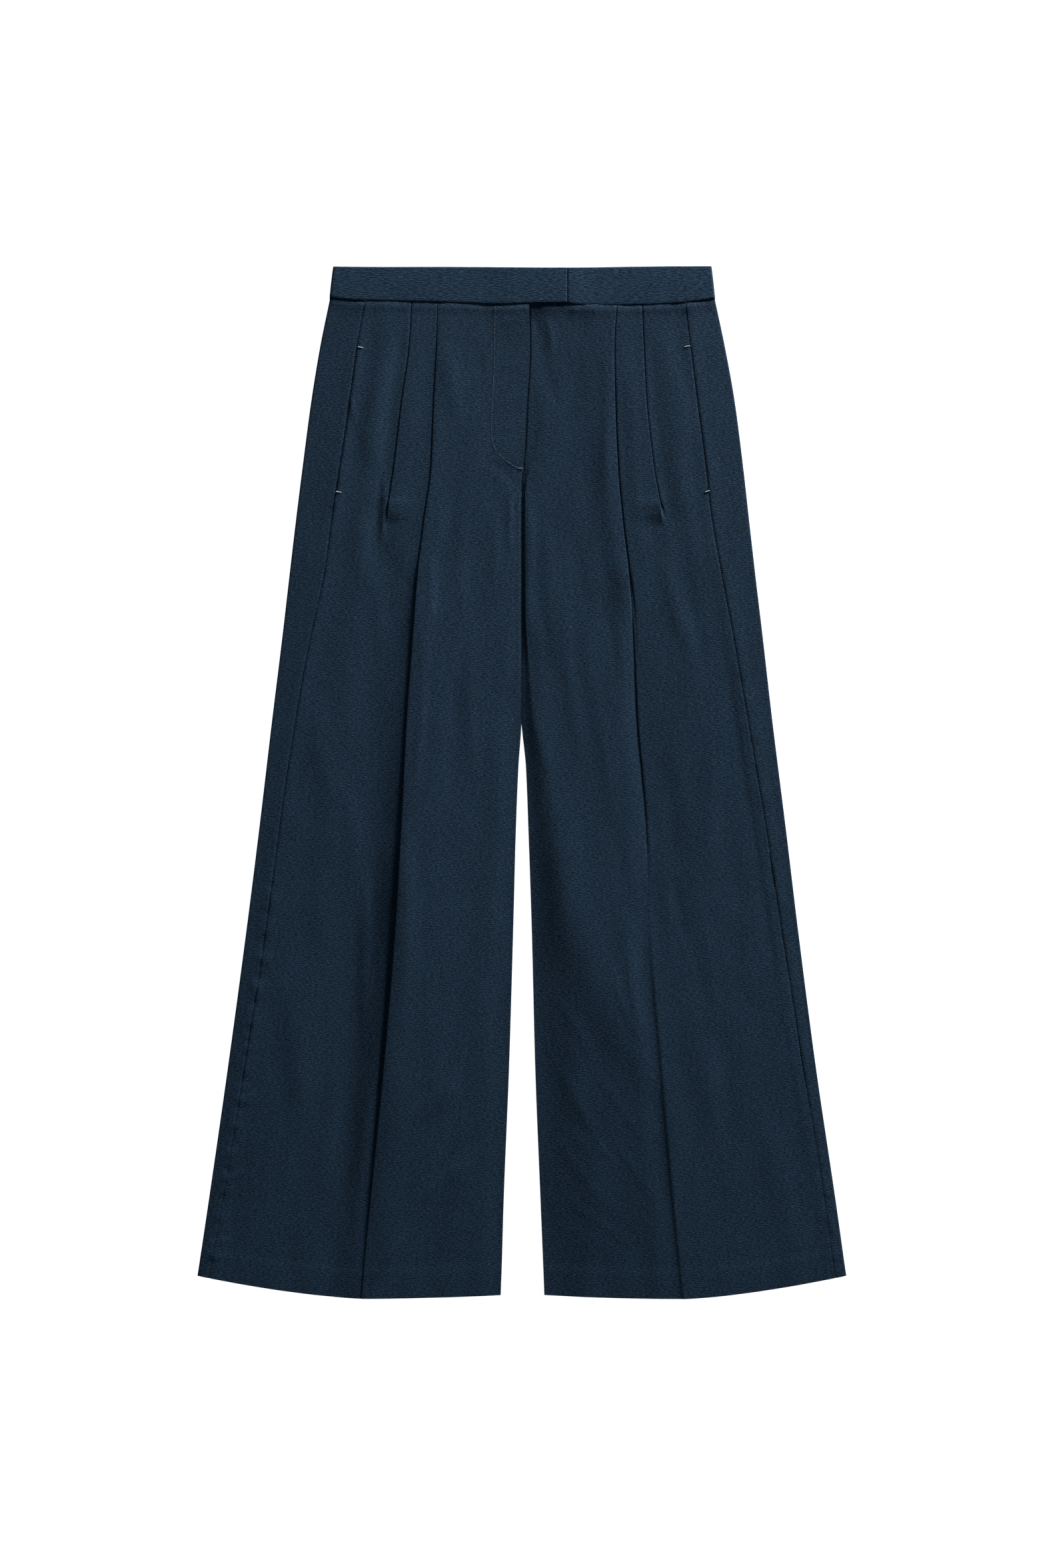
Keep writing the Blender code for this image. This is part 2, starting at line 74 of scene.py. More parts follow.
# ---- where the lines of each leg lie, and how high its cloth is ----
legLines = {
    "down": (34.7, 82.3, 136.7, 204.7, 259.1, 316.9, 374.7, 461, 578.7, 680.7, 816.7, 952.7, 1024.1,
             1053.3),
    "Right": {
        "edge": (196.3, 206, 214.9, 223.9, 230.7, 237.5, 244.2, 254.8, 268.8, 281.7, 300.1, 319.7,
                 330.4, 334.9),
        "seam": (159.8, 168, 175.4, 185.6, 193.8, 202, 214.9, 230.5, 248.2, 261.8, 282.9, 305.3,
                 317.6, 322.6),
        "pleat": (112.2, 114.9, 122.4, 130.6, 138.5, 146, 153, 163, 176, 187, 204, 224, 234, 238),
        "crease": (85.7, 87, 89.8, 92.5, 99.8, 106.8, 111.4, 117.8, 123.8, 130, 141.4, 155, 161.8,
                   164.2),
    },
    "Left": {
        "edge": (197.4, 207.5, 217.3, 226.1, 232.2, 238.8, 245.7, 255.6, 270.3, 282.6, 300.3, 320.5,
                 330.6, 335),
        "seam": (167.3, 172.7, 179.5, 188.4, 194.5, 204.7, 215.6, 230.5, 250.2, 265.9, 287, 309.4,
                 319, 324),
        "pleat": (122.4, 124.4, 127.2, 134.6, 144.2, 150, 156, 164, 177, 189, 205, 225, 235, 239),
        "crease": (97.2, 94.5, 95.2, 97.9, 102.7, 109.5, 113.6, 117.6, 127.2, 130.6, 141.6, 153.6,
                   161.2, 164.5),
    },
}
# the waist seam on each side, from past the centre line to the side fold
waistLine = {
    "Right": {
        "across": (-50, -25, -8, 9, 27, 43, 85, 112, 141, 169, 186, 197),
        "down": (37.2, 37.4, 37.7, 38.5, 38.7, 38.1, 36.5, 35.9, 35.3, 34.6, 33, 31.2),
    },
    "Left": {
        "across": (-30, 8, 30, 46, 58, 74, 88, 114, 141, 168, 184, 197),
        "down": (39, 39, 38.4, 37.9, 38.8, 39.4, 39.6, 39.4, 38.5, 36.6, 34.6, 32.5),
    },
}
legLevels = {
    "down": (29, 33, 36, 60, 290, 330, 375, 461, 680, 953, 985, 1021, 1054),
    "roll": (2.8, 2.9, 3, 2.9, 2.6, 2.5, 2.3, 2.2, 2.1, 2.1, 2.2, 2.6, 2.8),
    "seam": (2.6, 3.2, 3.6, 3.3, 3.1, 2.9, 2.7, 2.6, 2.4, 2.4, 2.5, 2.8, 3),
    "pleat": (1.6, 2.4, 2.9, 3.1, 3.1, 3, 3, 3, 2.8, 2.7, 2.8, 3, 3.1),
    "crease": (1.6, 2.4, 2.9, 3.1, 3.1, 2.9, 2.8, 2.6, 2.1, 2.3, 2.5, 2.8, 3),
    "plain": (2.4, 3.3, 3.9, 3.6, 3.4, 3.6, 3.9, 3.8, 3.7, 3.5, 3.4, 3.4, 3.5),
}
# the folds of the outer pleat and of the inner one, which becomes the pressed crease: how deep each
# is, the degrees that it turns, the length of its bends, the slit beside it and the cloth's lift past
# the slit, and the crease's groove with how far it falls toward it and rises past it
pleatFold = {
    "down": (32, 50, 110, 235, 248, 264, 1054),
    "depth": (12, 11, 8, 1.5, 0.3, 0.6, 0.6),
    "turn": (180, 180, 180, 180, 80, 0, 0),
    "bend": (0.74, 0.74, 0.82, 0.82, 1.1, 2, 2),
    "liftRight": (0.9, 0.9, 0.62, 0.45, 0.2, 0, 0),
    "liftLeft": (0.98, 0.98, 0.95, 0.9, 0.4, 0, 0),
    "slitRight": (0.15, 0.15, 0.3, 0.45, 0.5, 0.5, 0.5),
    "slitLeft": (0.05, 0.05, 0.05, 0.1, 0.3, 0.5, 0.5),
}
creaseFold = {
    "Right": {
        "down": (32, 110, 259, 290, 330, 375, 461, 514, 560, 604, 680, 817, 880, 953, 1054),
        "depth": (13, 10, 5, 1.6, 0.6, 0.8, 1.2, 1.6, 2.2, 2.6, 2.8, 2, 1.4, 1, 0.9),
        "turn": (180, 180, 180, 180, 110, 70, 56, 50, 48, 46, 44, 38, 34, 28, 26),
        "bend": (0.74, 0.82, 0.82, 0.82, 0.9, 1, 1, 1, 1, 1, 1, 1, 1, 1, 1),
        "lift": (0.94, 0.55, 0.35, 0.3, 0.1, 0, 0, 0, 0, 0, 0, 0, 0, 0, 0),
        "slit": (0.05, 0.25, 0.5, 0.5, 0.5, 0.5, 0.5, 0.5, 0.5, 0.5, 0.5, 0.5, 0.5, 0.5, 0.5),
        "groove": (0, 0, 0, 0, 0.1, 0.2, 0.3, 0.3, 0.3, 0.3, 0.3, 0.3, 0.3, 0.3, 0.3),
        "approach": 5.5,
        "reach": 0.8,
    },
    "Left": {
        "down": (32, 110, 150, 259, 290, 330, 375, 461, 579, 660, 700, 749, 953, 1054),
        "depth": (13, 10.3, 8.8, 5, 1.6, 0.6, 0.3, 0.3, 0.3, 0.4, 0.6, 1.1, 1.2, 1.1),
        "turn": (180, 180, 180, 180, 180, 90, 12, 0, 0, -5, -8, -12, -12, -10),
        "bend": (0.78, 0.8, 0.82, 0.82, 0.82, 1.1, 1.6, 1.8, 2, 2, 2, 2, 2, 2),
        "lift": (1, 0.95, 0.9, 0.85, 0.85, 0.7, 0.2, 0, 0, 0, 0, 0, 0, 0),
        "slit": (0.05, 0.22, 0.4, 0.5, 0.5, 0.5, 0.5, 0.5, 0.5, 0.5, 0.5, 0.5, 0.5, 0.5),
        "groove": (0, 0, 0, 0, 0.3, 0.8, 1.2, 1.3, 1.2, 0.3, -0.3, -0.6, -0.7, -0.6),
        "approach": (5.5, 5.5, 5.5, 5.5, 5.5, 5.5, 5.5, 5.5, 5.5, 5.5, 5.5, 5, 5, 5),
        "reach": (0.8, 0.8, 0.8, 0.8, 0.8, 0.8, 0.8, 0.8, 2, 12, 30, 40, 40, 40),
    },
}
# each front's inner edge: where it lies and how high, the degrees that its lip turns down, the widths
# of the flat beside it and of the slope past that, and the step between them at the fly
innerEdges = {
    "Right": {
        "down": (29, 33, 36, 82.3, 136.7, 198, 206, 220, 235, 350, 410, 461, 510.7, 578.7, 680.7,
                 816.7, 952.7, 1021, 1054),
        "inner": (-7.5, -7.5, -7.6, -8.2, -5.4, -1.9, -1, 0.4, 0.6, 0.6, 0.6, 0.4, 3.4, 6.1, 8.8,
                  12.9, 18.4, 20.4, 21.6),
        "level": (3.3, 4.1, 4.8, 3.5, 3.2, 3.1, 2.8, 2.7, 2.7, 3, 2.5, 1.9, 2, 2.3, 2.2, 2.1, 2.2,
                  2.6, 2.8),
        "lip": (0, 0, 0, 0, 0, 0, 40, 80, 90, 90, 90, 90, 90, 90, 90, 90, 90, 90, 90),
        "flat": (20, 20, 20, 36, 34, 30, 18, 4, 0.5, 0.5, 0.5, 0.5, 0.5, 0.5, 0.5, 0.5, 0.5, 0.5,
                 0.5),
        "slope": (26, 26, 26, 10, 10, 18, 20, 18, 12, 12, 18, 26, 24, 22, 26, 26, 24, 22, 20),
        "notch": (0, 0, 0, 0, 0, 0, 0, 0, 0.3, 0.3, 0.2, 0.1, 0, 0, 0, 0, 0, 0, 0),
    },
    "Left": {
        "down": (32, 82.3, 136.7, 198, 206, 220, 235, 350, 410, 461, 510.7, 578.7, 680.7, 816.7,
                 952.7, 1021, 1054),
        "inner": (-6, -6, -6, -6, 1.2, -0.2, -0.55, -0.55, -0.55, -0.35, 4.1, 6.8, 10.2, 13.6, 19,
                  21.8, 23.1),
        "level": (2.4, 2.4, 2.4, 2.3, 2.1, 2, 2.1, 2.2, 1.8, 1.3, 1.3, 1.3, 1.3, 1.3, 1.2, 1.6,
                  1.8),
        "lip": (0, 0, 0, 0, 0, 50, 90, 90, 90, 90, 90, 90, 90, 90, 90, 90, 90),
        "flat": (13.4, 14.1, 11.3, 7.8, 0.5, 0.5, 0.5, 0.5, 0.5, 0.5, 0.5, 0.5, 0.5, 0.5, 0.5, 0.5,
                 0.5),
        "slope": (22, 22, 22, 18, 6, 4, 3, 3.5, 8, 14, 22, 30, 38, 46, 54, 54, 50),
        "notch": (0.5, 0.5, 0.5, 0.5, 0.4, 0.5, 0.6, 0.6, 0.4, 0.2, 0, 0, 0, 0, 0, 0, 0),
    },
}

# ---- creases pressed and rumpled into the cloth: a line from (x, down) to (x, down), its half
# width and its height, below 0 for a trough ----
rumples = {
    "Right": (
        (98, 275, 88, 385, 5, 0.35), (80, 225, 92, 330, 6, 0.3), (62, 215, 58, 390, 6, 0.3),
        (50, 365, 53, 545, 7, 0.35), (76, 60, 66, 190, 9, 0.3), (45, 70, 40, 170, 7, -0.22),
        (30, 240, 26, 330, 5, 0.28), (14, 230, 11, 300, 3.5, 0.35), (140, 90, 158, 210, 10, 0.45),
        (152, 240, 168, 340, 8, 0.3), (144, 268, 126, 340, 11, -0.22),
        (138, 205, 145, 290, 3, 0.55), (158, 300, 140, 400, 8, 0.28), (164, 585, 157, 820, 6, 0.55),
        (156, 800, 162, 960, 6, 0.3), (205, 430, 196, 560, 12, 0.4), (222, 560, 214, 760, 14, -0.3),
        (236, 700, 228, 930, 12, 0.3), (118, 560, 122, 800, 9, 0.45), (60, 820, 112, 880, 8, 0.3),
        (56, 905, 104, 960, 7, 0.28), (112, 975, 146, 1030, 6, 0.25), (40, 640, 44, 820, 9, 0.22),
        (84, 640, 88, 790, 9, 0.2), (272, 842, 285, 858, 2.6, 0.35),
        (283, 920, 298, 932, 2.6, 0.35), (301, 990, 309, 998, 2.6, 0.3),
        (248, 640, 256, 655, 2.4, 0.25), (252, 700, 262, 716, 2.4, 0.22),
        (176, 120, 171, 165, 3, 0.25), (50, 770, 92, 882, 4.5, 0.38),
        (70, 862, 120, 962, 4.5, 0.38), (100, 932, 150, 1012, 4.5, 0.36),
        (44, 880, 70, 930, 4.5, -0.28), (120, 985, 158, 1040, 4, 0.34),
        (60, 960, 92, 1012, 4, 0.28), (90, 700, 104, 800, 6, 0.3), (70, 400, 74, 560, 7, -0.22),
        (100, 420, 106, 520, 4, 0.28), (8, 52, 22, 60, 3, 0.24), (6, 100, 24, 104, 2.6, 0.22),
        (4, 132, 22, 138, 2.4, 0.24), (2, 160, 20, 165, 2.6, 0.22), (178, 520, 172, 640, 8, 0.25),
        (192, 780, 200, 960, 9, 0.25), (226, 880, 240, 1010, 8, -0.22),
        (252, 860, 262, 980, 7, 0.22), (164, 880, 172, 1000, 6, 0.26),
    ),
    "Left": (
        (22, 60, 30, 150, 7, -0.3), (30, 45, 27, 90, 4, 0.3), (58, 80, 46, 190, 10, -0.3),
        (84, 60, 88, 240, 6, 0.35), (20, 245, 38, 420, 6, 0.4), (36, 290, 62, 520, 7, 0.4),
        (52, 260, 66, 360, 6, -0.25), (62, 330, 96, 600, 8, 0.4), (84, 330, 98, 450, 6, -0.28),
        (10, 330, 24, 470, 4.5, 0.4), (5, 212, 9, 400, 4, 0.55), (104, 690, 128, 800, 7, 0.42),
        (98, 560, 116, 700, 8, -0.3), (44, 860, 92, 905, 8, -0.1), (60, 930, 110, 985, 8, 0.08),
        (30, 735, 86, 832, 4, 0.14), (24, 800, 82, 890, 4, 0.14), (42, 836, 102, 930, 3.6, 0.13),
        (28, 882, 90, 962, 4, 0.14), (40, 946, 112, 1000, 3.6, 0.12),
        (64, 806, 128, 900, 3.6, 0.12), (84, 880, 146, 968, 3.6, 0.12),
        (12, 48, 17, 74, 3.5, -0.18), (24, 47, 34, 62, 2.5, -0.18), (84, 700, 112, 770, 3.5, 0.18),
        (96, 735, 122, 800, 3.5, 0.2), (158, 620, 164, 700, 5, -0.3), (184, 640, 196, 800, 8, 0.28),
        (200, 760, 214, 930, 9, -0.25), (262, 880, 280, 1010, 7, 0.22),
        (143, 236, 147, 270, 2.6, 0.2), (146, 285, 168, 400, 8, 0.4),
        (168, 300, 184, 420, 7, -0.25), (160, 90, 166, 200, 8, 0.3), (140, 480, 158, 640, 10, -0.3),
        (186, 480, 200, 640, 10, 0.3), (224, 640, 240, 760, 10, 0.3),
        (214, 560, 226, 680, 10, -0.25), (176, 720, 190, 900, 12, 0.3),
        (246, 840, 262, 1000, 10, 0.25), (232, 430, 236, 447, 3, 0.5),
        (244, 520, 250, 560, 4, 0.25), (252, 590, 259, 640, 4, -0.22),
    ),
}
# the swells and hollows that run beside the pleats and creases: the line, how far outside it,
# from and to how far down, half width and height
swells = {
    "Right": (
        ("crease", 3.5, 560, 1050, 3, -0.5), ("crease", 60, 520, 860, 24, 0.3),
        ("crease", 36, 250, 600, 17, -0.8), ("crease", -14, 300, 560, 5, 0.35),
        ("crease", -26, 220, 980, 40, 1.1), ("crease", -3, 120, 400, 7, 0.35),
        ("crease", -36, 560, 900, 16, -0.35), ("pleat", 9, 40, 290, 6, -0.7),
        ("pleat", 26, 36, 320, 9, 0.7),
    ),
    "Left": (
        ("crease", -11, 120, 620, 9, 0.5), ("crease", 9, 540, 720, 6, -0.5),
        ("crease", 16, 80, 320, 7, 0.45), ("pleat", 8, 60, 280, 6, -0.45),
        ("pleat", 26, 60, 330, 8, 0.55), ("seam", -14, 330, 760, 7, -0.3),
        ("seam", -9, 380, 1000, 2.2, 0.3),
    ),
}
# the right leg's crease stands up as a ridge, with a long hollow outside it: each row's height,
# the place of its crest or floor outside the crease, and how far it spreads inward and outward
creaseRidge = {
    "down": (300, 380, 460, 560, 680, 800, 930, 1054),
    "beside": -2,
    "inward": (40, 44, 48, 52, 56, 56, 52, 48),
    "outward": (34, 34, 32, 28, 27, 27, 27, 27),
    "height": (0, 1.1, 1.7, 2.4, 3.5, 3.5, 2.5, 1.9),
}
creaseHollow = {
    "down": (430, 520, 600, 680, 760, 850, 950, 1054),
    "beside": (16, 19, 23, 28, 30, 30, 29, 28),
    "inward": (13, 16, 19, 23, 25, 25, 25, 24),
    "outward": (24, 28, 34, 42, 46, 46, 42, 40),
    "height": (-0.3, -1, -1.7, -2.2, -2.2, -1.9, -1.5, -1.1),
}
# the left leg's inner panel rises from its inner edge to the crease, and falls to the seam
panelRise = {
    "down": (540, 660, 800, 1054),
    "height": (0, 1.7, 2.8, 3),
}
# the left leg's long fold, which runs from the crotch across to the crease: its crest as widths
# at distances down, and how far it spreads below the crest (toward the inseam) and above it
longFold = {
    "down": (400, 458, 540, 622, 703, 776, 821, 860),
    "across": (2, 9, 21, 39, 66, 98, 125, 146),
    "below": (10, 14, 20, 26, 30, 28, 22, 16),
    "above": (12, 20, 28, 32, 30, 24, 16, 10),
    "height": (0, 1.1, 1.9, 2.2, 2, 1.4, 0.7, 0),
}
# the same kind of marks on the underside, which lies on the surface: hollows into the cloth
backRumples = {
    "Right": (
        (30, 180, 92, 232, 6, 0.3), (26, 216, 76, 268, 5, 0.26), (58, 300, 84, 470, 8, 0.24),
        (150, 330, 172, 560, 9, 0.28), (90, 600, 138, 664, 7, 0.3), (64, 640, 120, 700, 6, 0.24),
        (210, 700, 232, 905, 9, 0.24), (120, 860, 176, 905, 6, 0.24),
    ),
    "Left": (
        (22, 196, 84, 242, 6, 0.3), (30, 240, 70, 292, 5, 0.22), (88, 330, 96, 520, 8, 0.24),
        (170, 300, 190, 500, 9, 0.26), (70, 590, 130, 650, 7, 0.3), (96, 664, 140, 720, 6, 0.22),
        (222, 760, 240, 960, 9, 0.24), (90, 900, 150, 936, 6, 0.22),
    ),
}

# ---- how finely the cloth is divided ----
mesh = {
    "rowSpacing": 3.3,
    "bendSteps": 6,             # round each bend of a pleat
    "lipSteps": 4,
    "rollSteps": 12,            # round the side fold
    "underColumns": 60,         # across the underside
}


def makeTrack(downs, values):
    # a smooth curve through a table's column that never overshoots its rows
    downs = np.array(downs, float)
    values = np.zeros(len(downs)) + values
    slopes = np.diff(values) / np.diff(downs)
    tangents = np.zeros(len(values))
    tangents[0], tangents[-1] = slopes[0], slopes[-1]
    for row in range(1, len(values) - 1):
        before, after = slopes[row - 1], slopes[row]
        if before * after > 0.0:
            tangents[row] = 2.0 * before * after / (before + after)

    def track(at):
        at = np.clip(np.asarray(at, float), downs[0], downs[-1])
        row = np.clip(np.searchsorted(downs, at) - 1, 0, len(downs) - 2)
        step = downs[row + 1] - downs[row]
        share = (at - downs[row]) / step
        rest = 1.0 - share
        return (values[row] * (1.0 + 2.0 * share) * rest ** 2
                + tangents[row] * step * share * rest ** 2
                + values[row + 1] * (3.0 - 2.0 * share) * share ** 2
                - tangents[row + 1] * step * share ** 2 * rest)
    return track


def tracksOf(table, downs=None):
    downs = downs or table["down"]
    return {name: makeTrack(downs, table[name]) for name in table if name != "down"}


lineTracks = {side: tracksOf(legLines[side], legLines["down"]) for side in sides}
waistTracks = {side: makeTrack(waistLine[side]["across"], waistLine[side]["down"]) for side in sides}
creaseTracks = {side: tracksOf(creaseFold[side]) for side in sides}
innerTracks = {side: tracksOf(innerEdges[side]) for side in sides}
levelTracks, pleatTracks, panelTracks = map(tracksOf, (legLevels, pleatFold, panelRise))
ridgeTracks, hollowTracks, longFoldTracks = map(tracksOf, (creaseRidge, creaseHollow, longFold))


def smooth(share):
    share = np.clip(share, 0.0, 1.0)
    return share * share * (3.0 - 2.0 * share)


def past(at, start, end):
    # 0 before the start, 1 beyond the end, eased between them; the end may be the lower of the two
    return smooth((at - start) / (end - start))


def fading(share, part):
    # 1 along the middle of a line, eased to 0 over this part of it at both ends
    return smooth(share / part) * smooth((1.0 - share) / part)


def bump(distance, width):
    return np.exp(-(distance / width) ** 2)


def realDown(side, down, across):
    # how far down a row really lies at a width, as rows bend with the waist seam and the hem
    sagShare = np.clip(1.0 - (down - garment["waistSeam"]) / garment["sagReach"], 0.0, 1.0)
    sag = (waistTracks[side](across) - garment["waistSeam"]) * sagShare
    top, crease = garment["hemReachTop"], garment["hemCrease"]
    hemShare = np.clip((down - top) / (garment["length"] - top), 0.0, 1.0)
    outward = np.clip((across - crease) / (garment["hemEdge"] - crease), 0.0, None)
    inward = np.clip((crease - across) / (crease - garment["hemInner"]), 0.0, None)
    rise = garment["hemRiseSide"] * outward ** garment["hemRisePower"]
    rise = rise + garment["hemRiseInner"] * inward ** 2
    return down + sag - rise * hemShare


def lineAt(side, name, down):
    track = lineTracks[side][name]
    return track(realDown(side, down, track(down)))


def innerAt(side, down):
    track = innerTracks[side]["inner"]
    nominal = track(down)
    return np.where(down > garment["crotchOpens"], track(realDown(side, down, nominal)), nominal)


def halfThickness(down):
    share = past(down, garment["hemLine"] - 1.5, garment["hemLine"] + 1.5)
    return (garment["cloth"] + share * (garment["hemCloth"] - garment["cloth"])) / 2


def bend(turn, length, steps):
    # an arc in each row, from its start along +x, turning up by an angle in degrees
    stepTurn = np.radians(turn) / steps
    half = stepTurn / 2
    chord = length / steps * np.sinc(half / math.pi)
    x, z, heading = np.zeros_like(length), np.zeros_like(length), np.zeros_like(length)
    points = []
    for _ in range(steps):
        x = x + chord * np.cos(heading + half)
        z = z + chord * np.sin(heading + half)
        heading = heading + stepTurn
        points.append((x, z))
    return points, heading


def foldOf(tracks, down):
    # a pleat from its top layer outward, back below itself and outward again
    turn, length, depth = tracks["turn"](down), tracks["bend"](down), tracks["depth"](down)
    upper, heading = bend(-turn, length, mesh["bendSteps"])
    cos, sin = np.cos(heading), np.sin(heading)
    x, z = upper[-1][0] + depth * cos, upper[-1][1] + depth * sin
    lower = bend(turn, length, mesh["bendSteps"])[0]
    return ([(np.zeros_like(down), np.zeros_like(down))] + upper + [(x, z)]
            + [(x + dx * cos - dz * sin, z + dx * sin + dz * cos) for dx, dz in lower])


def outermost(points):
    return np.max([x for x, _ in points], axis=0)


def innermost(points):
    return np.min([x for x, _ in points], axis=0)


def run(stops):
    # a stretch of cloth eased in height between stops of (x, z, number of columns)
    columns = []
    for (x0, z0, _), (x1, z1, count) in zip(stops, stops[1:]):
        for step in range(1, count + 1):
            share = step / count
            columns.append((x0 + share * (x1 - x0), z0 + smooth(share) * (z1 - z0)))
    return columns


def placed(points, x, z):
    return [(x + dx, z + dz) for dx, dz in points]


def rowDowns(top):
    count = int((garment["length"] - top) / mesh["rowSpacing"])
    return np.linspace(top, garment["length"], count)


frontShape = {
    "steepLip": 60.0,           # a lip that turns further than this reaches down to the back
    "shortLip": 0.3,            # past the turn of any other
    "edgeStep": 1.2,            # width of the step at the end of the flat along the inner edge
    "creaseRise": 26.0,         # width over which the cloth rises to the crease at the waist,
    "creaseRiseLess": 4.0,      # and how much less of it below the pleats
    "liftWidth": 0.6,           # past a pleat's slit, and 2.4 times the slit more
    "seamEase": 3.2,            # from the cloth's full height to the side seam
}


def frontColumns(side, down):
    # a front from its inner edge to the side seam, over the inner and the outer pleat
    half = halfThickness(down)
    creasePath, pleatPath = foldOf(creaseTracks[side], down), foldOf(pleatTracks, down)
    creaseBase, pleatBase = levelTracks["crease"](down), levelTracks["pleat"](down)
    plain, seamLevel = levelTracks["plain"](down), levelTracks["seam"](down)
    creaseTop = creaseBase + np.maximum(0.0, -creasePath[-1][1])
    pleatTop = pleatBase - pleatPath[-1][1]
    bendEnd = mesh["bendSteps"] + 1
    pleatLine, seamX = lineAt(side, "pleat", down), lineAt(side, "seam", down)
    creaseX = lineAt(side, "crease", down) - half - outermost(creasePath[:bendEnd])
    pleatX = pleatLine - half - outermost(pleatPath[:bendEnd])
    inner = {name: track(down) for name, track in innerTracks[side].items()}

    # the lip that turns down to the back
    radius = half + garment["foldGap"] / 2
    lip, heading = bend(inner["lip"], math.pi / 2 * radius, mesh["lipSteps"])
    toBack = np.maximum(inner["level"] - radius - 2 * half - garment["lipGap"], 0.2)
    straight = np.where(inner["lip"] > frontShape["steepLip"], toBack, frontShape["shortLip"])
    lip.append((lip[-1][0] + straight * np.cos(heading), lip[-1][1] + straight * np.sin(heading)))
    start = innerAt(side, down) + outermost(lip) + half * np.sin(np.radians(inner["lip"]))
    columns = [(start - x, inner["level"] - z) for x, z in reversed(lip)]
    columns.append((start, inner["level"]))

    # the top layer, from the centre to the crease
    flatEnd = start + inner["flat"]
    slopeEnd = flatEnd + inner["slope"]
    levelStart = creaseX + innermost(creasePath) - half - 0.5
    riseWidth = frontShape["creaseRise"] - frontShape["creaseRiseLess"] * past(down, 250, 400)
    columns += run([
        (start, inner["level"], 0),
        (flatEnd, inner["level"], 4),
        (flatEnd + frontShape["edgeStep"], inner["level"] + inner["notch"], 4),
        (slopeEnd, plain, 12),
        (np.maximum(slopeEnd + 1.5, levelStart - riseWidth), plain, 18),
        (levelStart, creaseTop, 12),
        (creaseX, creaseTop, 5),
    ])
    creaseColumn = len(columns) - 1
    columns += placed(creasePath[1:], creaseX, creaseTop)

    # the layer between the pleats
    x, z = columns[-1]
    slit = creaseTracks[side]["slit"](down)
    underEnd = np.maximum(creaseX + outermost(creasePath) + half + slit, x + 1.5)
    overStart = np.maximum(pleatX + innermost(pleatPath) - half - 0.5, underEnd + 1.5)
    liftEnd = np.minimum(underEnd + frontShape["liftWidth"] + 2.4 * slit, overStart - 0.5)
    columns += run([
        (x, z, 0),
        (underEnd, z, 5),
        (liftEnd, z + creaseTracks[side]["lift"](down), 4),
        (overStart, pleatTop, 14),
        (pleatX, pleatTop, 5),
    ])
    columns += placed(pleatPath[1:], pleatX, pleatTop)

    # the layer outside the outer pleat
    x, z = columns[-1]
    slit, lift = pleatTracks["slit" + side](down), pleatTracks["lift" + side](down)
    underEnd = np.maximum(pleatLine + slit, x + 1.0)
    columns += run([
        (x, z, 0),
        (underEnd, pleatBase, 5),
        (underEnd + frontShape["liftWidth"] + 2.4 * slit, pleatBase + lift, 4),
        (seamX - frontShape["seamEase"], seamLevel, 24),
        (seamX - garment["seamSlit"] / 2, seamLevel, 4),
    ])
    return columns, creaseColumn


def backColumns(side, down):
    # a back from its inner edge, round the side fold, to the side seam on the front
    half = halfThickness(down)
    roll, seamLevel = levelTracks["roll"](down), levelTracks["seam"](down)
    radius = (roll - half) / 2
    # the slit between the backs lies a little aside, so that the fronts' slit is over cloth
    crotch = garment["crotchOpens"]
    aside = sides[side] * garment["backAside"] * past(down, crotch + 14, crotch)
    innerX = np.where(down < 235.0, garment["backTopSlit"], innerAt(side, down)) + aside
    edgeX = lineAt(side, "edge", down) - half - radius
    seamX = lineAt(side, "seam", down) + garment["seamSlit"] / 2
    columns = [(innerX, half)] + run([(innerX, half, 0), (edgeX, half, mesh["underColumns"])])
    roundFold = bend(np.full_like(down, 180.0), math.pi * radius, mesh["rollSteps"])[0]
    columns += placed(roundFold, edgeX, half)
    columns += run([(edgeX, roll, 0), (seamX + 3.0, seamLevel, 14), (seamX, seamLevel, 4)])
    return columns, mesh["underColumns"] // 2


def creaseHeight(table, x, down):
    # the sum of all soft creases at each point, each fading out toward its ends
    total = np.zeros_like(x)
    for number, (fromX, fromDown, toX, toDown, width, height) in enumerate(table):
        alongX, alongDown = toX - fromX, toDown - fromDown
        length = math.hypot(alongX, alongDown)
        share = ((x - fromX) * alongX + (down - fromDown) * alongDown) / length ** 2
        aside = ((x - fromX) * alongDown - (down - fromDown) * alongX) / length
        aside = aside + 0.35 * width * np.sin(share * 5.0 + number)
        total += height * bump(aside, width) * fading(share, 0.35)
    return total


def swellHeight(side, x, down):
    total = np.zeros_like(x)
    for line, beside, fromDown, toDown, width, height in swells[side]:
        aside = x - lineTracks[side][line](down) - beside
        share = (down - fromDown) / (toDown - fromDown)
        total += height * bump(aside, width) * fading(share, 0.2)
    return total


def unevenBump(aside, inward, outward):
    # a ridge or a hollow that is steeper on one flank than on the other
    return bump(aside, np.where(aside < 0.0, inward, outward))


def besideCrease(tracks, x, down):
    aside = x - lineTracks["Right"]["crease"](down) - tracks["beside"](down)
    return tracks["height"](down) * unevenBump(aside, tracks["inward"](down), tracks["outward"](down))


def panelHeight(x, down):
    lines = lineTracks["Left"]
    inner, crease, seam = innerTracks["Left"]["inner"](down), lines["crease"](down), lines["seam"](down)
    share = np.minimum((x - inner) / (crease - inner), (seam - x) / (seam - crease))
    return panelTracks["height"](down) * np.clip(share, 0.0, 1.0)


def grooveHeight(side, x, down):
    # the pressed crease: a soft fall toward it and a sharp rise past it
    fromLine = x - lineTracks[side]["crease"](down)
    tracks = creaseTracks[side]
    reach = np.where(fromLine < 0.0, tracks["approach"](down), tracks["reach"](down))
    return -tracks["groove"](down) * np.exp(-np.abs(fromLine) / reach)


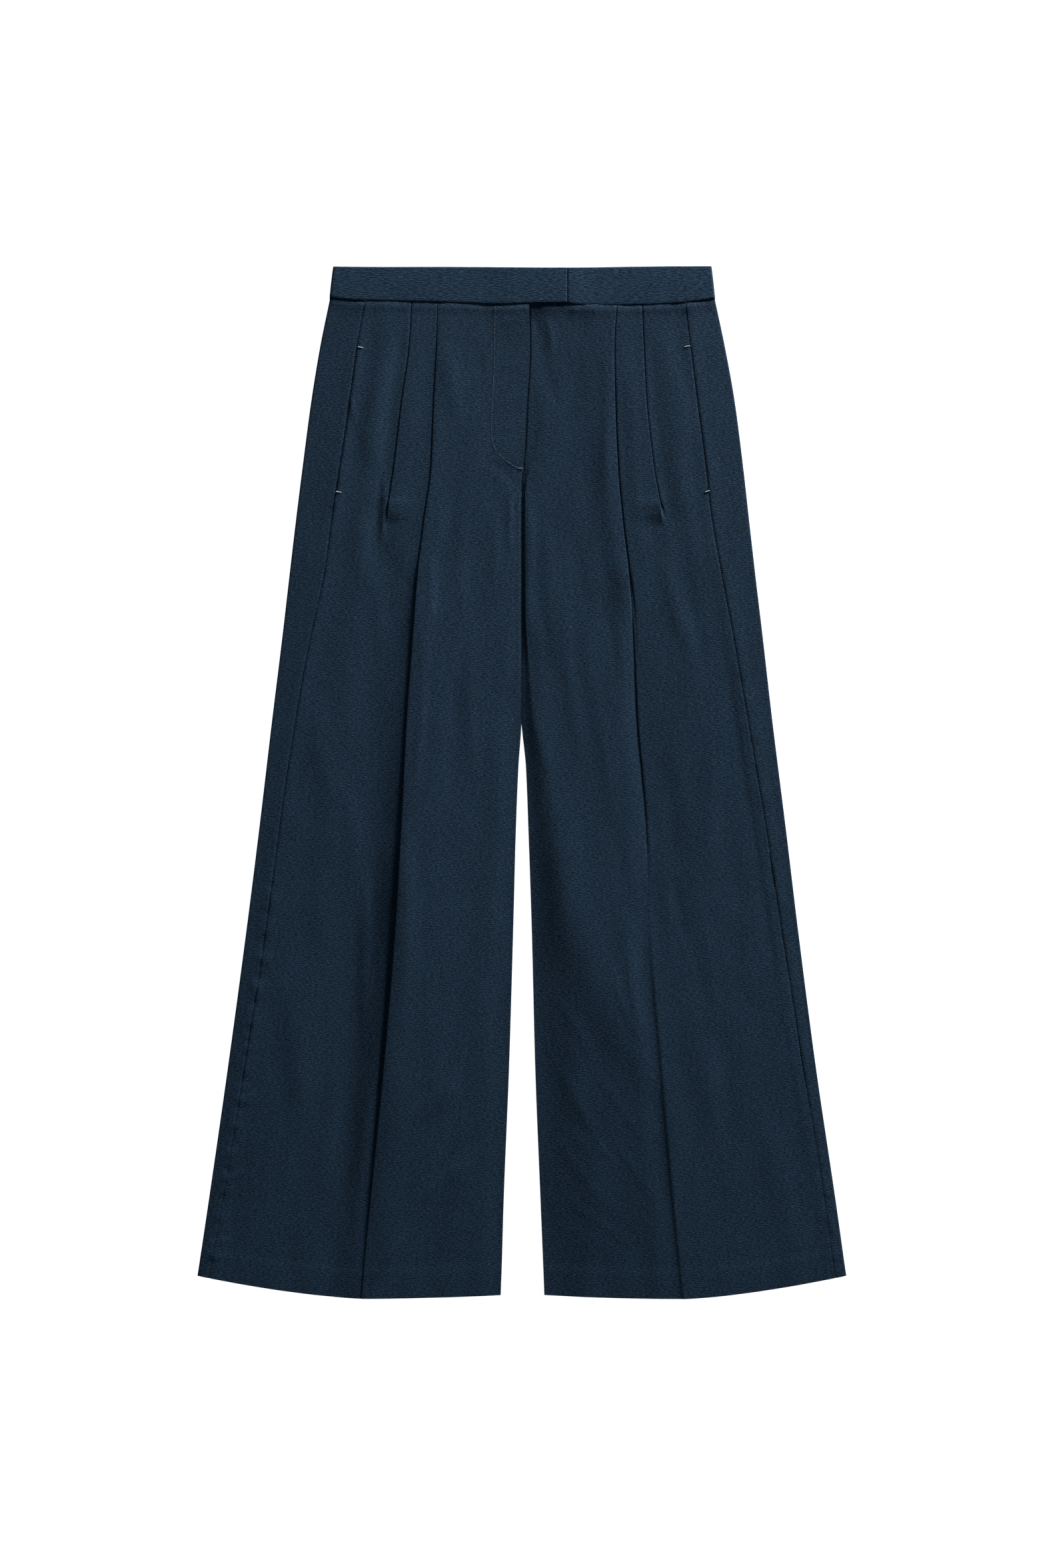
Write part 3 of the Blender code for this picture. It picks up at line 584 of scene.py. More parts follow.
def longFoldHeight(x, down):
    tracks = longFoldTracks
    inRange = (down > longFold["down"][0]) & (down < longFold["down"][-1])
    return np.where(inRange, tracks["height"](down), 0.0) * unevenBump(
        x - tracks["across"](down), tracks["below"](down), tracks["above"](down))


def undulation(x, down):
    # the cloth's slight unevenness, longer along the leg than across it
    return (0.10 * np.sin(x / 11.0 + down / 95.0 + 0.4) * np.sin(down / 61.0 + 1.2)
            + 0.08 * np.sin(x / 6.3 - down / 140.0 + 2.1) * np.sin(down / 37.0 + x / 50.0)
            + 0.06 * np.sin(x / 17.0 + down / 23.0) * np.sin(down / 83.0 + 0.7))


# ---- the side seams: which panel's edge stands higher and by how much along the leg and at the
# pocket, how much deeper the seam is along the pocket's mouth and how much shallower above it,
# and its puckers low down ----
seamLook = {
    "Right": {"raised": "front", "step": 0.34, "pocketStep": 0.28, "mouth": 0.75, "above": 0.0,
              "puckers": 1.7},
    "Left": {"raised": "back", "step": 0.20, "pocketStep": 0.16, "mouth": 0.25, "above": 0.45,
             "puckers": 0.4},
    "ditch": 0.30,
    "lips": 0.10,               # beside the ditch
    "allowance": 0.14,          # of the pressed-open cloth below, 11 mm wide
    "puckerHeight": 0.12,
}


def seamRelief(side, panel, x, down):
    look = seamLook[side]
    aside = x - lineTracks[side]["seam"](down)
    puckers = np.sin(down / 2.9) * np.sin(down / 7.7 + 1.0) + 0.6 * np.sin(down / 5.3)
    puckers = puckers + 1.6 * np.maximum(0.0, np.sin(down / 5.6 + x / 9.0) * np.sin(down / 31.0)) ** 3
    lively = 0.5 + 0.5 * np.sin(down / 83.0 + 2.0 * sides[side])
    lively = lively + look["puckers"] * past(down, 480, 680)
    lowLeg = 1.0 - 0.6 * past(down, 780, 940)
    depth = lowLeg + look["mouth"] * past(down, 80, 90) * past(down, 240, 228)
    depth = depth - look["above"] * past(down, 86, 76)
    ditch = seamLook["lips"] * bump(np.abs(aside) - 3.0, 2.4) - seamLook["ditch"] * bump(aside, 1.1)
    height = ditch * depth + seamLook["allowance"] * past(np.abs(aside), 11.0, 8.5)
    if look["raised"] == panel:
        step = look["step"] * lowLeg + look["pocketStep"] * past(down, 270, 230)
        height = height + step * np.exp(-np.abs(aside) / 9.0)
    return height + seamLook["puckerHeight"] * lively * puckers * bump(aside, 6)


def waistRelief(row, ditch):
    # the cloth dips into the waist seam and puffs out just below it
    belowSeam = row - garment["waistSeam"]
    return 0.60 * bump(belowSeam - 4, 5.5) - ditch * bump(belowSeam, 1.4)


def hemRelief(x, row):
    # the turned-up hem's faint upper edge with its blind stitches
    fromLine = row - garment["hemLine"]
    dimples = np.maximum(0.0, np.sin(x / 1.35)) ** 6
    uneven = 0.5 + 0.5 * np.sin(x / 19.0) * np.sin(x / 7.3 + 1.0)
    return (0.12 * uneven * past(fromLine, -1.5, 1.5) - 0.16 * bump(fromLine - 1.4, 1.5)
            - 0.10 * dimples * bump(fromLine, 2))


def frontRelief(side, x, row, down):
    height = creaseHeight(rumples[side], x, down) + undulation(x * sides[side], down)
    height *= garment["rumpleStrength"]
    height += swellHeight(side, x, down) + grooveHeight(side, x, down)
    if side == "Right":
        height += besideCrease(ridgeTracks, x, down) + besideCrease(hollowTracks, x, down)
    else:
        height += longFoldHeight(x, down) + panelHeight(x, down)
        # the cloth rises with the underlap beside the tab's end
        height += 0.75 * past(x, 44, 54) * past(x, 112, 62) * bump(row - 33, 16)
    gathers = np.sin(x / 2.3) * np.sin(x / 5.9 + 0.8)
    height += 0.14 * gathers * bump(row - garment["waistSeam"] - 4, 6)
    return height + seamRelief(side, "front", x, down) + waistRelief(row, 0.25) + hemRelief(x, row)


def backRelief(side, x, row, down):
    # the underside's creases, then the side seam and the hem on the stretch that shows from above
    height = np.clip(creaseHeight(backRumples[side], x, down), 0.0, 0.4)
    top = seamRelief(side, "back", x, down) + 0.6 * undulation(x * sides[side], down)
    top += hemRelief(x, row) + waistRelief(row, 0.4)
    topStart = 1 + mesh["underColumns"] + mesh["rollSteps"]
    height[:, topStart:] = top[:, topStart:]
    return height


def gridShape(points, threads):
    # a grid whose corners are moved to the rows and columns of points
    lastRow, lastColumn = points.shape[0] - 1, points.shape[1] - 1
    shape = bmesh.new()
    bmesh.ops.create_grid(shape, x_segments=lastColumn, y_segments=lastRow, size=1.0)
    uvLayer = shape.loops.layers.uv.new("cloth")
    places = {}
    for corner in shape.verts:
        row = round((corner.co.y + 1.0) / 2.0 * lastRow)
        column = round((corner.co.x + 1.0) / 2.0 * lastColumn)
        places[corner] = (row, column)
        corner.co = points[row, column]
    for face in shape.faces:
        face.smooth = True
        for loop in face.loops:
            loop[uvLayer].uv = threads[places[loop.vert]]
    return shape, places


def toObject(name, shape):
    data = bpy.data.meshes.new(name)
    shape.to_mesh(data)
    shape.free()
    made = bpy.data.objects.new(name, data)
    bpy.context.scene.collection.objects.link(made)
    return made


surfaces = {}    # each panel's widths, distances down and heights, for the sewing to lie on


def clothPiece(name, side, columnsOf, relief, top):
    row = rowDowns(top)
    columns, middleColumn = columnsOf(side, row)
    x = np.stack([column[0] for column in columns], axis=1)
    z = np.stack([column[1] for column in columns], axis=1)
    rowGrid = np.repeat(row[:, None], x.shape[1], axis=1)
    down = realDown(side, rowGrid, x)
    z = np.maximum(z + relief(side, x, rowGrid, down), np.minimum(z, garment["lowestFront"]))
    surfaces[name] = (x * sides[side], down, z)
    points = np.stack([sides[side] * x, garment["length"] / 2 - down, z], axis=-1) * mm
    steps = np.hypot(np.diff(x, axis=1), np.diff(z, axis=1))
    along = np.concatenate([np.zeros((len(row), 1)), np.cumsum(steps, axis=1)], axis=1)
    along = along - along[:, middleColumn:middleColumn + 1]
    threads = np.stack([sides[side] * along, -(down + garment["grainLean"] * along)], axis=-1) * mm
    cloth, places = gridShape(points, threads)
    for edge in cloth.edges:
        if edge.is_boundary:
            edge.smooth = False
    thickness = 2 * halfThickness(row)
    weights = [float(thickness[places[corner][0]] / thickness.max()) for corner in cloth.verts]
    piece = toObject(name, cloth)
    group = piece.vertex_groups.new(name="thickness")
    for index, weight in enumerate(weights):
        group.add([index], weight, "REPLACE")
    wall = piece.modifiers.new("wall", "SOLIDIFY")
    wall.thickness = float(thickness.max()) * mm
    wall.offset = 0.0
    wall.use_even_offset = True
    wall.vertex_group = group.name
    return piece


print("stage: cloth panels")
pieces = {}
for side in sides:
    pieces["front" + side] = clothPiece("front" + side, side, frontColumns, frontRelief,
                                        garment["waistSeam"] - garment["frontTuck"])
    pieces["back" + side] = clothPiece("back" + side, side, backColumns, backRelief,
                                       garment["waistSeam"] + garment["backStart"])

# ---- waistband ----
band = {
    "thickness": 1.2,
    "topSag": 1.3,              # drop of the top edge at the centre
    "waistHalf": 196.0,         # over this half width
    "half": {"Right": 196.3, "Left": 197.4},
    "topTaper": 0.982,          # the top edge's half width over the bottom edge's
    "frontLevel": 3.9,
    "tabLevel": 5.25,
    "tabEnd": 46.2,             # past the centre line
    "underlapEnd": 25.8,        # past the centre line, the other way
    "tabStep": (66.0, -3.0),    # the tab rises from here to here
    "flushLift": 0.9,           # the underlap's rise to the tab's level beside the tab's end
    "crown": 0.12,
    "edgeRadius": 0.45,
    "endInset": 0.35,           # at both short ends
    "faceRows": 16,
    "edgeRows": 6,
}


def bandPath(side):
    # from the centre back round the side fold to the front end, as widths at the band's bottom
    half, level = band["thickness"] / 2, band["frontLevel"]
    radius = (level - half) / 2
    edge = band["half"][side] - half - radius
    if side == "Right":
        (low, high), tab, end = band["tabStep"], band["tabLevel"], -band["tabEnd"]
        stops = [(low, level, 60), (high, tab, 16), (end + 0.4, tab, 34), (end, tab, 1)]
    else:
        end, beside = -band["underlapEnd"], band["tabEnd"]
        stops = [(beside + 28.0, level, 50), (beside + 1.2, level + band["flushLift"], 16),
                 (beside + 0.2, level, 5), (end + 0.4, level, 40), (end, level, 1)]
    columns = [(0.05, half)] + run([(0.05, half, 0), (edge, half, 60)])
    roundFold = bend(np.array([180.0]), np.array([math.pi * radius]), 14)[0]
    columns += placed(roundFold, edge, half) + run([(edge, level, 0)] + stops)
    return np.array([[float(np.squeeze(x)), float(np.squeeze(z))] for x, z in columns])


def bandRing(inset):
    # the band's rounded section, as (share down, distance to the outside), from the outer face's top
    half = band["thickness"] / 2 - inset
    faceRows, edgeRows = band["faceRows"], band["edgeRows"]
    shares = [step / faceRows for step in range(faceRows + 1)]
    rounds = [half * math.cos(math.pi * step / edgeRows) for step in range(1, edgeRows)]
    ring = [(share, half + band["crown"] * math.sin(math.pi * share)) for share in shares]
    ring += [(1.0, out) for out in rounds]
    ring += [(share, -half) for share in reversed(shares[::2])]
    ring += [(0.0, out) for out in reversed(rounds)]
    return ring


def bandPiece(name, side):
    path = bandPath(side)
    tangent = np.gradient(path, axis=0)
    tangent /= np.linalg.norm(tangent, axis=1)[:, None]
    outward = np.stack([tangent[:, 1], -tangent[:, 0]], axis=1)
    along = np.concatenate([[0.0], np.cumsum(np.linalg.norm(np.diff(path, axis=0), axis=1))])
    inset = band["edgeRadius"]
    points, threads = [], []
    for number, ((x, z), (nx, nz)) in enumerate(zip(path, outward)):
        signed = x * sides[side]
        taper = (1.0 - band["topTaper"]) * float(past(x, 60, 160))
        topSag = band["topSag"] * (1.0 - min(1.0, abs(x) / band["waistHalf"]) ** 2)
        high = topSag + 0.35 * math.sin(signed / 33.0 + 0.5) + inset
        low = float(realDown(side, garment["waistSeam"], x)) - inset
        ring = bandRing(band["endInset"] if number in (0, len(path) - 1) else 0.0)
        for place, (share, out) in enumerate(ring + ring[:1]):
            edgeOut = inset * math.sqrt(max(0.0, 1.0 - (out / (band["thickness"] / 2)) ** 2))
            shift = 0.0
            if share == 1.0 and place > band["faceRows"]:
                shift = edgeOut
            if share == 0.0 and place > band["faceRows"] * 1.5 + band["edgeRows"]:
                shift = -edgeOut
            down = high + share * (low - high) + shift
            pressed = 0.0
            if out > 0.0 and z > 2.0:    # the outer face's slight unevenness where it shows
                wide = math.sin(signed / 13.0 + share * 2.0) * math.sin(share * 5.0 + signed / 40.0)
                fine = math.sin(signed / 5.1 + share * 4.0) * math.sin(signed / 31.0)
                pressed = 0.10 * wide + 0.07 * fine
            points.append(((x * (1.0 - taper * (1.0 - share)) + nx * out) * sides[side],
                           garment["length"] / 2 - down, z + nz * out + pressed))
            threads.append((sides[side] * along[number], -down))
    points = np.array(points).reshape(len(path), -1, 3) * mm
    cloth, _ = gridShape(points, np.array(threads).reshape(len(path), -1, 2) * mm)
    bmesh.ops.remove_doubles(cloth, verts=cloth.verts, dist=0.00001)
    ends = [edge for edge in cloth.edges if edge.is_boundary]
    bmesh.ops.holes_fill(cloth, edges=ends, sides=0)
    bmesh.ops.recalc_face_normals(cloth, faces=cloth.faces)
    return toObject(name, cloth)


print("stage: waistband")
for side in sides:
    pieces["waistband" + side] = bandPiece("waistband" + side, side)

# ---- sewing ----
sewing = {
    "pitch": 2.2,               # of the fly's stitches
    "stitch": 1.45,
    "thread": 0.21,             # radius
    "flyPath": ((-27.2, 41.0), (-27.9, 68.7), (-28.2, 96.6), (-29.6, 127.8), (-30.9, 153.0),
                (-30.9, 172.7), (-29.2, 181.6), (-26.2, 187.7), (-19.0, 196.5), (-12.2, 201.3),
                (-5.4, 205.1), (1.4, 206.0)),
    "waistPitch": 2.3,
    "waistStitch": 0.8,
    "waistThread": 0.2,
    "waistLean": 1.35,          # of the small stitches in the waist seam, in radians
    "waistReach": {"Right": (-190.0, -2.0), "Left": (92.0, 192.0)},
    "tackPitch": 0.62,          # of the threads across a bar tack
    "tackWidth": 1.35,
    "tackThread": 0.25,
    "tackLean": 0.25,           # of those threads, in radians
    "tackCore": (0.28, 0.24),   # its two lengthwise threads: how far aside, and their radius
}
bartacks = {
    # centre across and down, length, and its lean in degrees
    "bartackPocketTopRight": (-164.6, 83.0, 5.6, -12.0),
    "bartackPocketBottomRight": (-187.0, 230.6, 5.6, -10.0),
    "bartackPocketTopLeft": (168.9, 81.9, 6.2, 7.0),
    "bartackPocketBottomLeft": (189.4, 229.8, 4.8, 16.0),
    "bartackFlyEnd": (-1.8, 206.6, 5.0, -6.0),
}


def heightAt(names, x, down, reach=2.6):
    # the cloth's top surface below a point, in millimetres
    best = 0.0
    for name in names:
        gridX, gridDown, gridZ = surfaces[name]
        near = (np.abs(gridX - x) < reach) & (np.abs(gridDown - down) < reach)
        if near.any():
            best = max(best, float(gridZ[near].max()))
    return best


def addStitch(target, x, down, z, angle, length, radius):
    # one visible stitch: a slim capsule along its thread's direction
    made = bmesh.ops.create_uvsphere(target, u_segments=8, v_segments=6, radius=1.0)
    cos, sin = math.cos(angle), math.sin(angle)
    for corner in made["verts"]:
        lengthwise, sideways = corner.co.z * length / 2, corner.co.x * radius
        corner.co = ((x + lengthwise * cos - sideways * sin) * mm,
                     (garment["length"] / 2 - (down + lengthwise * sin + sideways * cos)) * mm,
                     (z + corner.co.y * radius) * mm)


def finishThreads(name, target):
    bmesh.ops.recalc_face_normals(target, faces=target.faces)
    for face in target.faces:
        face.smooth = True
    return toObject(name, target)


def pathPlaces(path, pitch):
    # evenly spaced places along a rounded path, each with the path's direction there
    path = np.array(path, float)
    along = np.concatenate([[0.0], np.cumsum(np.linalg.norm(np.diff(path, axis=0), axis=1))])
    trackX, trackDown = makeTrack(along, path[:, 0]), makeTrack(along, path[:, 1])
    for place in np.arange(pitch / 2, along[-1], pitch):
        forth, fall = [float(track(place + 0.5) - track(place - 0.5)) for track in (trackX, trackDown)]
        yield float(trackX(place)), float(trackDown(place)), math.atan2(fall, forth)


def flyStitching():
    threads = bmesh.new()
    for x, down, angle in pathPlaces(sewing["flyPath"], sewing["pitch"]):
        z = heightAt(["frontRight"], x, down) + garment["cloth"] / 2 + 0.10
        addStitch(threads, x, down, z, angle, sewing["stitch"], sewing["thread"])
    return finishThreads("flyStitching", threads)


def waistStitching(side):
    # the small stitches that show in the ditch of the waist seam
    threads = bmesh.new()
    for number, x in enumerate(np.arange(*sewing["waistReach"][side], sewing["waistPitch"])):
        down = float(realDown(side, garment["waistSeam"] + 0.8, abs(x)))
        z = heightAt(["front" + side], x, down + 1.0, 1.6) + 0.1
        addStitch(threads, x, down + 0.25 * math.sin(number * 1.7), z, sewing["waistLean"],
                  sewing["waistStitch"], sewing["waistThread"])
    return finishThreads("waistStitching" + side, threads)


def bartackPiece(name, x, down, length, lean):
    # a dense bar of threads across the end of an opening
    threads = bmesh.new()
    angle = math.radians(-lean)
    cos, sin = math.cos(angle), math.sin(angle)
    side = "Right" if x < 0 else "Left"
    z = heightAt(["front" + side, "back" + side], x, down, 3.2) + garment["cloth"] / 2 + 0.05
    apart, radius = sewing["tackCore"]
    for aside in (-apart, apart):
        addStitch(threads, x - aside * sin, down + aside * cos, z, angle, length, radius)
    count = int(length / sewing["tackPitch"])
    across = angle + math.pi / 2 + sewing["tackLean"]
    for number in range(count):
        along = ((number + 0.5) / count - 0.5) * length
        addStitch(threads, x + along * cos, down + along * sin, z + 0.16, across,
                  sewing["tackWidth"], sewing["tackThread"])
    return finishThreads(name, threads)


print("stage: sewing")
stitches = {"flyStitching": flyStitching()}
for side in sides:
    stitches["waistStitching" + side] = waistStitching(side)
for name, place in bartacks.items():
    stitches[name] = bartackPiece(name, *place)

# ---- finishes ----
linen = {
    "deep": (0.0042, 0.0126, 0.0262),
    "pale": (0.0172, 0.0382, 0.0712),
    "middle": 0.38,             # where the cloth's tone lies between them
    "slubTone": 0.44,           # how much paler a slub is
    "weaveTone": 0.10,
    # how the tone wavers: its size along the weft and the warp, its detail and how strongly
    "fineWeft": (3.2, 0.7, 2.0, 0.72),
    "fineWarp": (0.8, 5.0, 2.0, 0.24),
    "mottle": (2.6, 1.1, 2.0, 0.42),
    "streaks": (2.2, 90.0, 2.0, 0.05),
    "clouds": (30.0, 44.0, 3.0, 0.07),
    "threadPitch": 0.62,
    "roughness": 0.86,
    "bumpDepth": 0.00018,
    # the waistband's linen is painted this much paler than the legs' linen: painted light for the
    # brighter light at the waist
    "bandPaintedLight": 1.18,
}


def newTree(name):
    finish = bpy.data.materials.new(name)
    finish.use_nodes = True
    return finish, finish.node_tree, finish.node_tree.nodes["Principled BSDF"]


def feed(tree, node, given):
    # each input is given as a value, or as the output that it is linked to
    for name, value in given.items():
        if isinstance(value, bpy.types.NodeSocket):
            tree.links.new(value, node.inputs[name])
        elif value is not None:
            node.inputs[name].default_value = value


def addNode(tree, kind, given, **settings):
    node = tree.nodes.new("ShaderNode" + kind)
    for name, value in settings.items():
        setattr(node, name, value)
    feed(tree, node, given)
    return node


def mathNode(tree, operation, first, second=None):
    return addNode(tree, "Math", {0: first, 1: second}, operation=operation).outputs[0]


def noiseNode(tree, vector, stretch, detail=2.0):
    # noise stretched along the threads: sizes in millimetres
    scale = (1.0 / stretch[0], 1.0 / stretch[1], 0.0)
    scaled = addNode(tree, "VectorMath", {0: vector, 1: scale}, operation="MULTIPLY").outputs[0]
    return addNode(tree, "TexNoise", {"Vector": scaled, "Scale": 1.0, "Detail": detail}).outputs["Fac"]


def objectNoise(tree, scale):
    place = addNode(tree, "TexCoord", {}).outputs["Object"]
    return addNode(tree, "TexNoise", {"Vector": place, "Scale": scale}).outputs["Fac"]


def rangeNode(tree, given, low, high, toLow=0.0, toHigh=1.0):
    return addNode(tree, "MapRange", {"Value": given, "From Min": low, "From Max": high,
                                      "To Min": toLow, "To Max": toHigh}).outputs["Result"]


def mixedColour(tree, factor, dark, light):
    given = {"Factor": factor, "A": (*dark, 1.0), "B": (*light, 1.0)}
    return addNode(tree, "Mix", given, data_type="RGBA").outputs["Result"]


def makeWeaveGroup():
    # plain-woven linen: threads over and under, thick slubs along the weft, faint warp streaks
    tree = bpy.data.node_groups.new("linenWeave", "ShaderNodeTree")
    tree.interface.new_socket("Threads", in_out="INPUT", socket_type="NodeSocketVector")
    starts = {"Thread Pitch": linen["threadPitch"], "Weft Length": 1.0, "Slub Amount": 1.0}
    for name, start in starts.items():
        socket = tree.interface.new_socket(name, in_out="INPUT", socket_type="NodeSocketFloat")
        socket.default_value = start
    for name in ("Tone", "Height"):
        tree.interface.new_socket(name, in_out="OUTPUT", socket_type="NodeSocketFloat")

    def times(first, second):
        return mathNode(tree, "MULTIPLY", first, second)

    def total(parts):
        summed = parts[0]
        for part in parts[1:]:
            summed = mathNode(tree, "ADD", summed, part)
        return summed

    def waver(name, vector):
        alongWeft, alongWarp, detail, strength = linen[name]
        noise = noiseNode(tree, vector, (alongWeft, alongWarp), detail)
        return rangeNode(tree, noise, 0.3, 0.7, -strength, strength)

    given = tree.nodes.new("NodeGroupInput")
    result = tree.nodes.new("NodeGroupOutput")
    threads = addNode(tree, "VectorMath", {0: given.outputs["Threads"], "Scale": 1 / mm},
                      operation="SCALE").outputs[0]
    split = addNode(tree, "SeparateXYZ", {0: threads})
    # the threads' places drawn out along the weft
    alongWeft = mathNode(tree, "DIVIDE", split.outputs[0], given.outputs["Weft Length"])
    drawn = addNode(tree, "CombineXYZ", {0: alongWeft, 1: split.outputs[1]}).outputs[0]

    # the threads over and under each other
    wander = times(noiseNode(tree, threads, (14.0, 3.0)), 0.5)
    turn = mathNode(tree, "DIVIDE", math.pi, given.outputs["Thread Pitch"])
    warp, weft = [mathNode(tree, "SINE", times(total([split.outputs[axis], wander]), turn))
                  for axis in (0, 1)]
    weave = times(warp, weft)

    shortSlubs = rangeNode(tree, noiseNode(tree, drawn, (6.0, 0.6), 1.0), 0.60, 0.74)
    longSlubs = rangeNode(tree, noiseNode(tree, threads, (26.0, 0.8), 1.0), 0.64, 0.76)
    slubs = times(mathNode(tree, "MAXIMUM", shortSlubs, longSlubs), given.outputs["Slub Amount"])
    fineWeft = waver("fineWeft", drawn)
    feed(tree, result, {
        "Tone": total([fineWeft, waver("fineWarp", threads), waver("mottle", drawn),
                       waver("streaks", threads), waver("clouds", threads),
                       times(slubs, linen["slubTone"]), times(weave, linen["weaveTone"]),
                       linen["middle"]]),
        "Height": total([times(weave, 0.5), times(slubs, 0.6), times(fineWeft, 1.6)]),
    })
    return tree


def linenFinish(name, deep, pale, slubAmount, weftLength=1.0, fromUv=True):
    finish, tree, shader = newTree(name)
    if fromUv:
        place = addNode(tree, "UVMap", {}, uv_map="cloth").outputs["UV"]
    else:
        place = addNode(tree, "TexCoord", {}).outputs["Object"]
    weave = addNode(tree, "Group", {"Threads": place, "Thread Pitch": linen["threadPitch"],
                                    "Weft Length": weftLength, "Slub Amount": slubAmount},
                    node_tree=weaveGroup)
    tone, roughness = weave.outputs["Tone"], linen["roughness"]
    relief = addNode(tree, "Bump", {"Strength": 0.6, "Distance": linen["bumpDepth"],
                                    "Height": weave.outputs["Height"]})
    feed(tree, shader, {
        "Base Color": mixedColour(tree, tone, deep, pale),
        "Roughness": rangeNode(tree, tone, 0.0, 1.0, roughness + 0.06, roughness - 0.10),
        "Normal": relief.outputs["Normal"],
        "Specular IOR Level": 0.12,
        "Sheen Weight": 0.01,
        "Sheen Roughness": 0.5,
    })
    return finish


def threadFinish(name, dark, light):
    # twisted sewing thread: fine specks of light and dark
    finish, tree, shader = newTree(name)
    twist = rangeNode(tree, objectNoise(tree, 1400.0), 0.35, 0.65)
    feed(tree, shader, {"Base Color": mixedColour(tree, twist, dark, light), "Roughness": 0.6})
    return finish


def steelFinish():
    finish, tree, shader = newTree("satinSteel")
    feed(tree, shader, {"Roughness": rangeNode(tree, objectNoise(tree, 900.0), 0.3, 0.7, 0.28, 0.42),
                        "Base Color": (0.42, 0.42, 0.44, 1.0), "Metallic": 1.0})
    return finish


def dress(piece, finish):
    piece.data.materials.clear()
    piece.data.materials.append(finish)


print("stage: finishes")
weaveGroup = makeWeaveGroup()
legLinen = linenFinish("navyLinen", linen["deep"], linen["pale"], 1.0)
# the waistband gets a paler copy of the same linen: painted light for the brighter light on the band
deepLitBand, paleLitBand = [tuple(linen["bandPaintedLight"] * c for c in linen[shade]) for shade in ("deep", "pale")]
litBandLinen = linenFinish("navyLinenBandPaintedLight", deepLitBand, paleLitBand, 0.9, weftLength=1.6)
pocketCloth = linenFinish("pocketCloth", (0.008, 0.012, 0.020), (0.020, 0.030, 0.046), 0.2,
                          fromUv=False)
paleThread = threadFinish("paleThread", (0.04, 0.062, 0.09), (0.10, 0.135, 0.18))
bartackThread = threadFinish("bartackThread", (0.17, 0.23, 0.28), (0.38, 0.46, 0.52))
waistThread = threadFinish("waistThread", (0.05, 0.08, 0.11), (0.15, 0.20, 0.26))
steel = steelFinish()

for side in sides:
    for kind in ("front", "back", "waistband"):
        piece = pieces[kind + side]
        onBand = kind == "waistband"
        dress(piece, litBandLinen if onBand else legLinen)
        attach(piece, "root")
        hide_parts(kind + "_" + side.lower())
threadOf = {"bartackPocket": bartackThread, "waistStitching": waistThread}    # the rest is pale
for name, piece in stitches.items():
    dress(piece, next((threadOf[start] for start in threadOf if name.startswith(start)), paleThread))
    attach(piece, "root")
for name in ("pocket_bag_right", "pocket_bag_left", "fly_zip", "waist_hook", "waist_bar"):
    dress(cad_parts[name], steel if name.startswith("waist") else pocketCloth)

# ---- floor, light and camera: places in metres ----
studio = {
    "key": {"place": (2.85, 4.65, 0.96), "aim": (0.0, 0.05, 0.0), "power": 1075.0, "size": 1.1,
            "colour": (0.93, 1.0, 0.985)},
    "fill": {"place": (-0.35, 0.45, 1.2), "aim": (-0.35, 0.45, 0.0), "power": 1.4, "size": 0.8,
             "colour": (0.96, 0.98, 1.0)},
    "skyStrength": 0.045,
    "skyColour": (0.5, 0.95, 1.0, 1.0),
    "floorHalf": 60.0,
    "floorLevel": -0.0003,
    "floorColour": (0.55, 0.55, 0.55, 1.0),
    "floorGlow": 1.0,
}


def areaLight(name, look):
    data = bpy.data.lights.new(name, "AREA")
    data.energy, data.size, data.color = look["power"], look["size"], look["colour"]
    lamp = bpy.data.objects.new(name, data)
    bpy.context.scene.collection.objects.link(lamp)
    lamp.location = look["place"]
    away = Vector(look["place"]) - Vector(look["aim"])
    lamp.rotation_euler = away.to_track_quat("Z", "Y").to_euler()


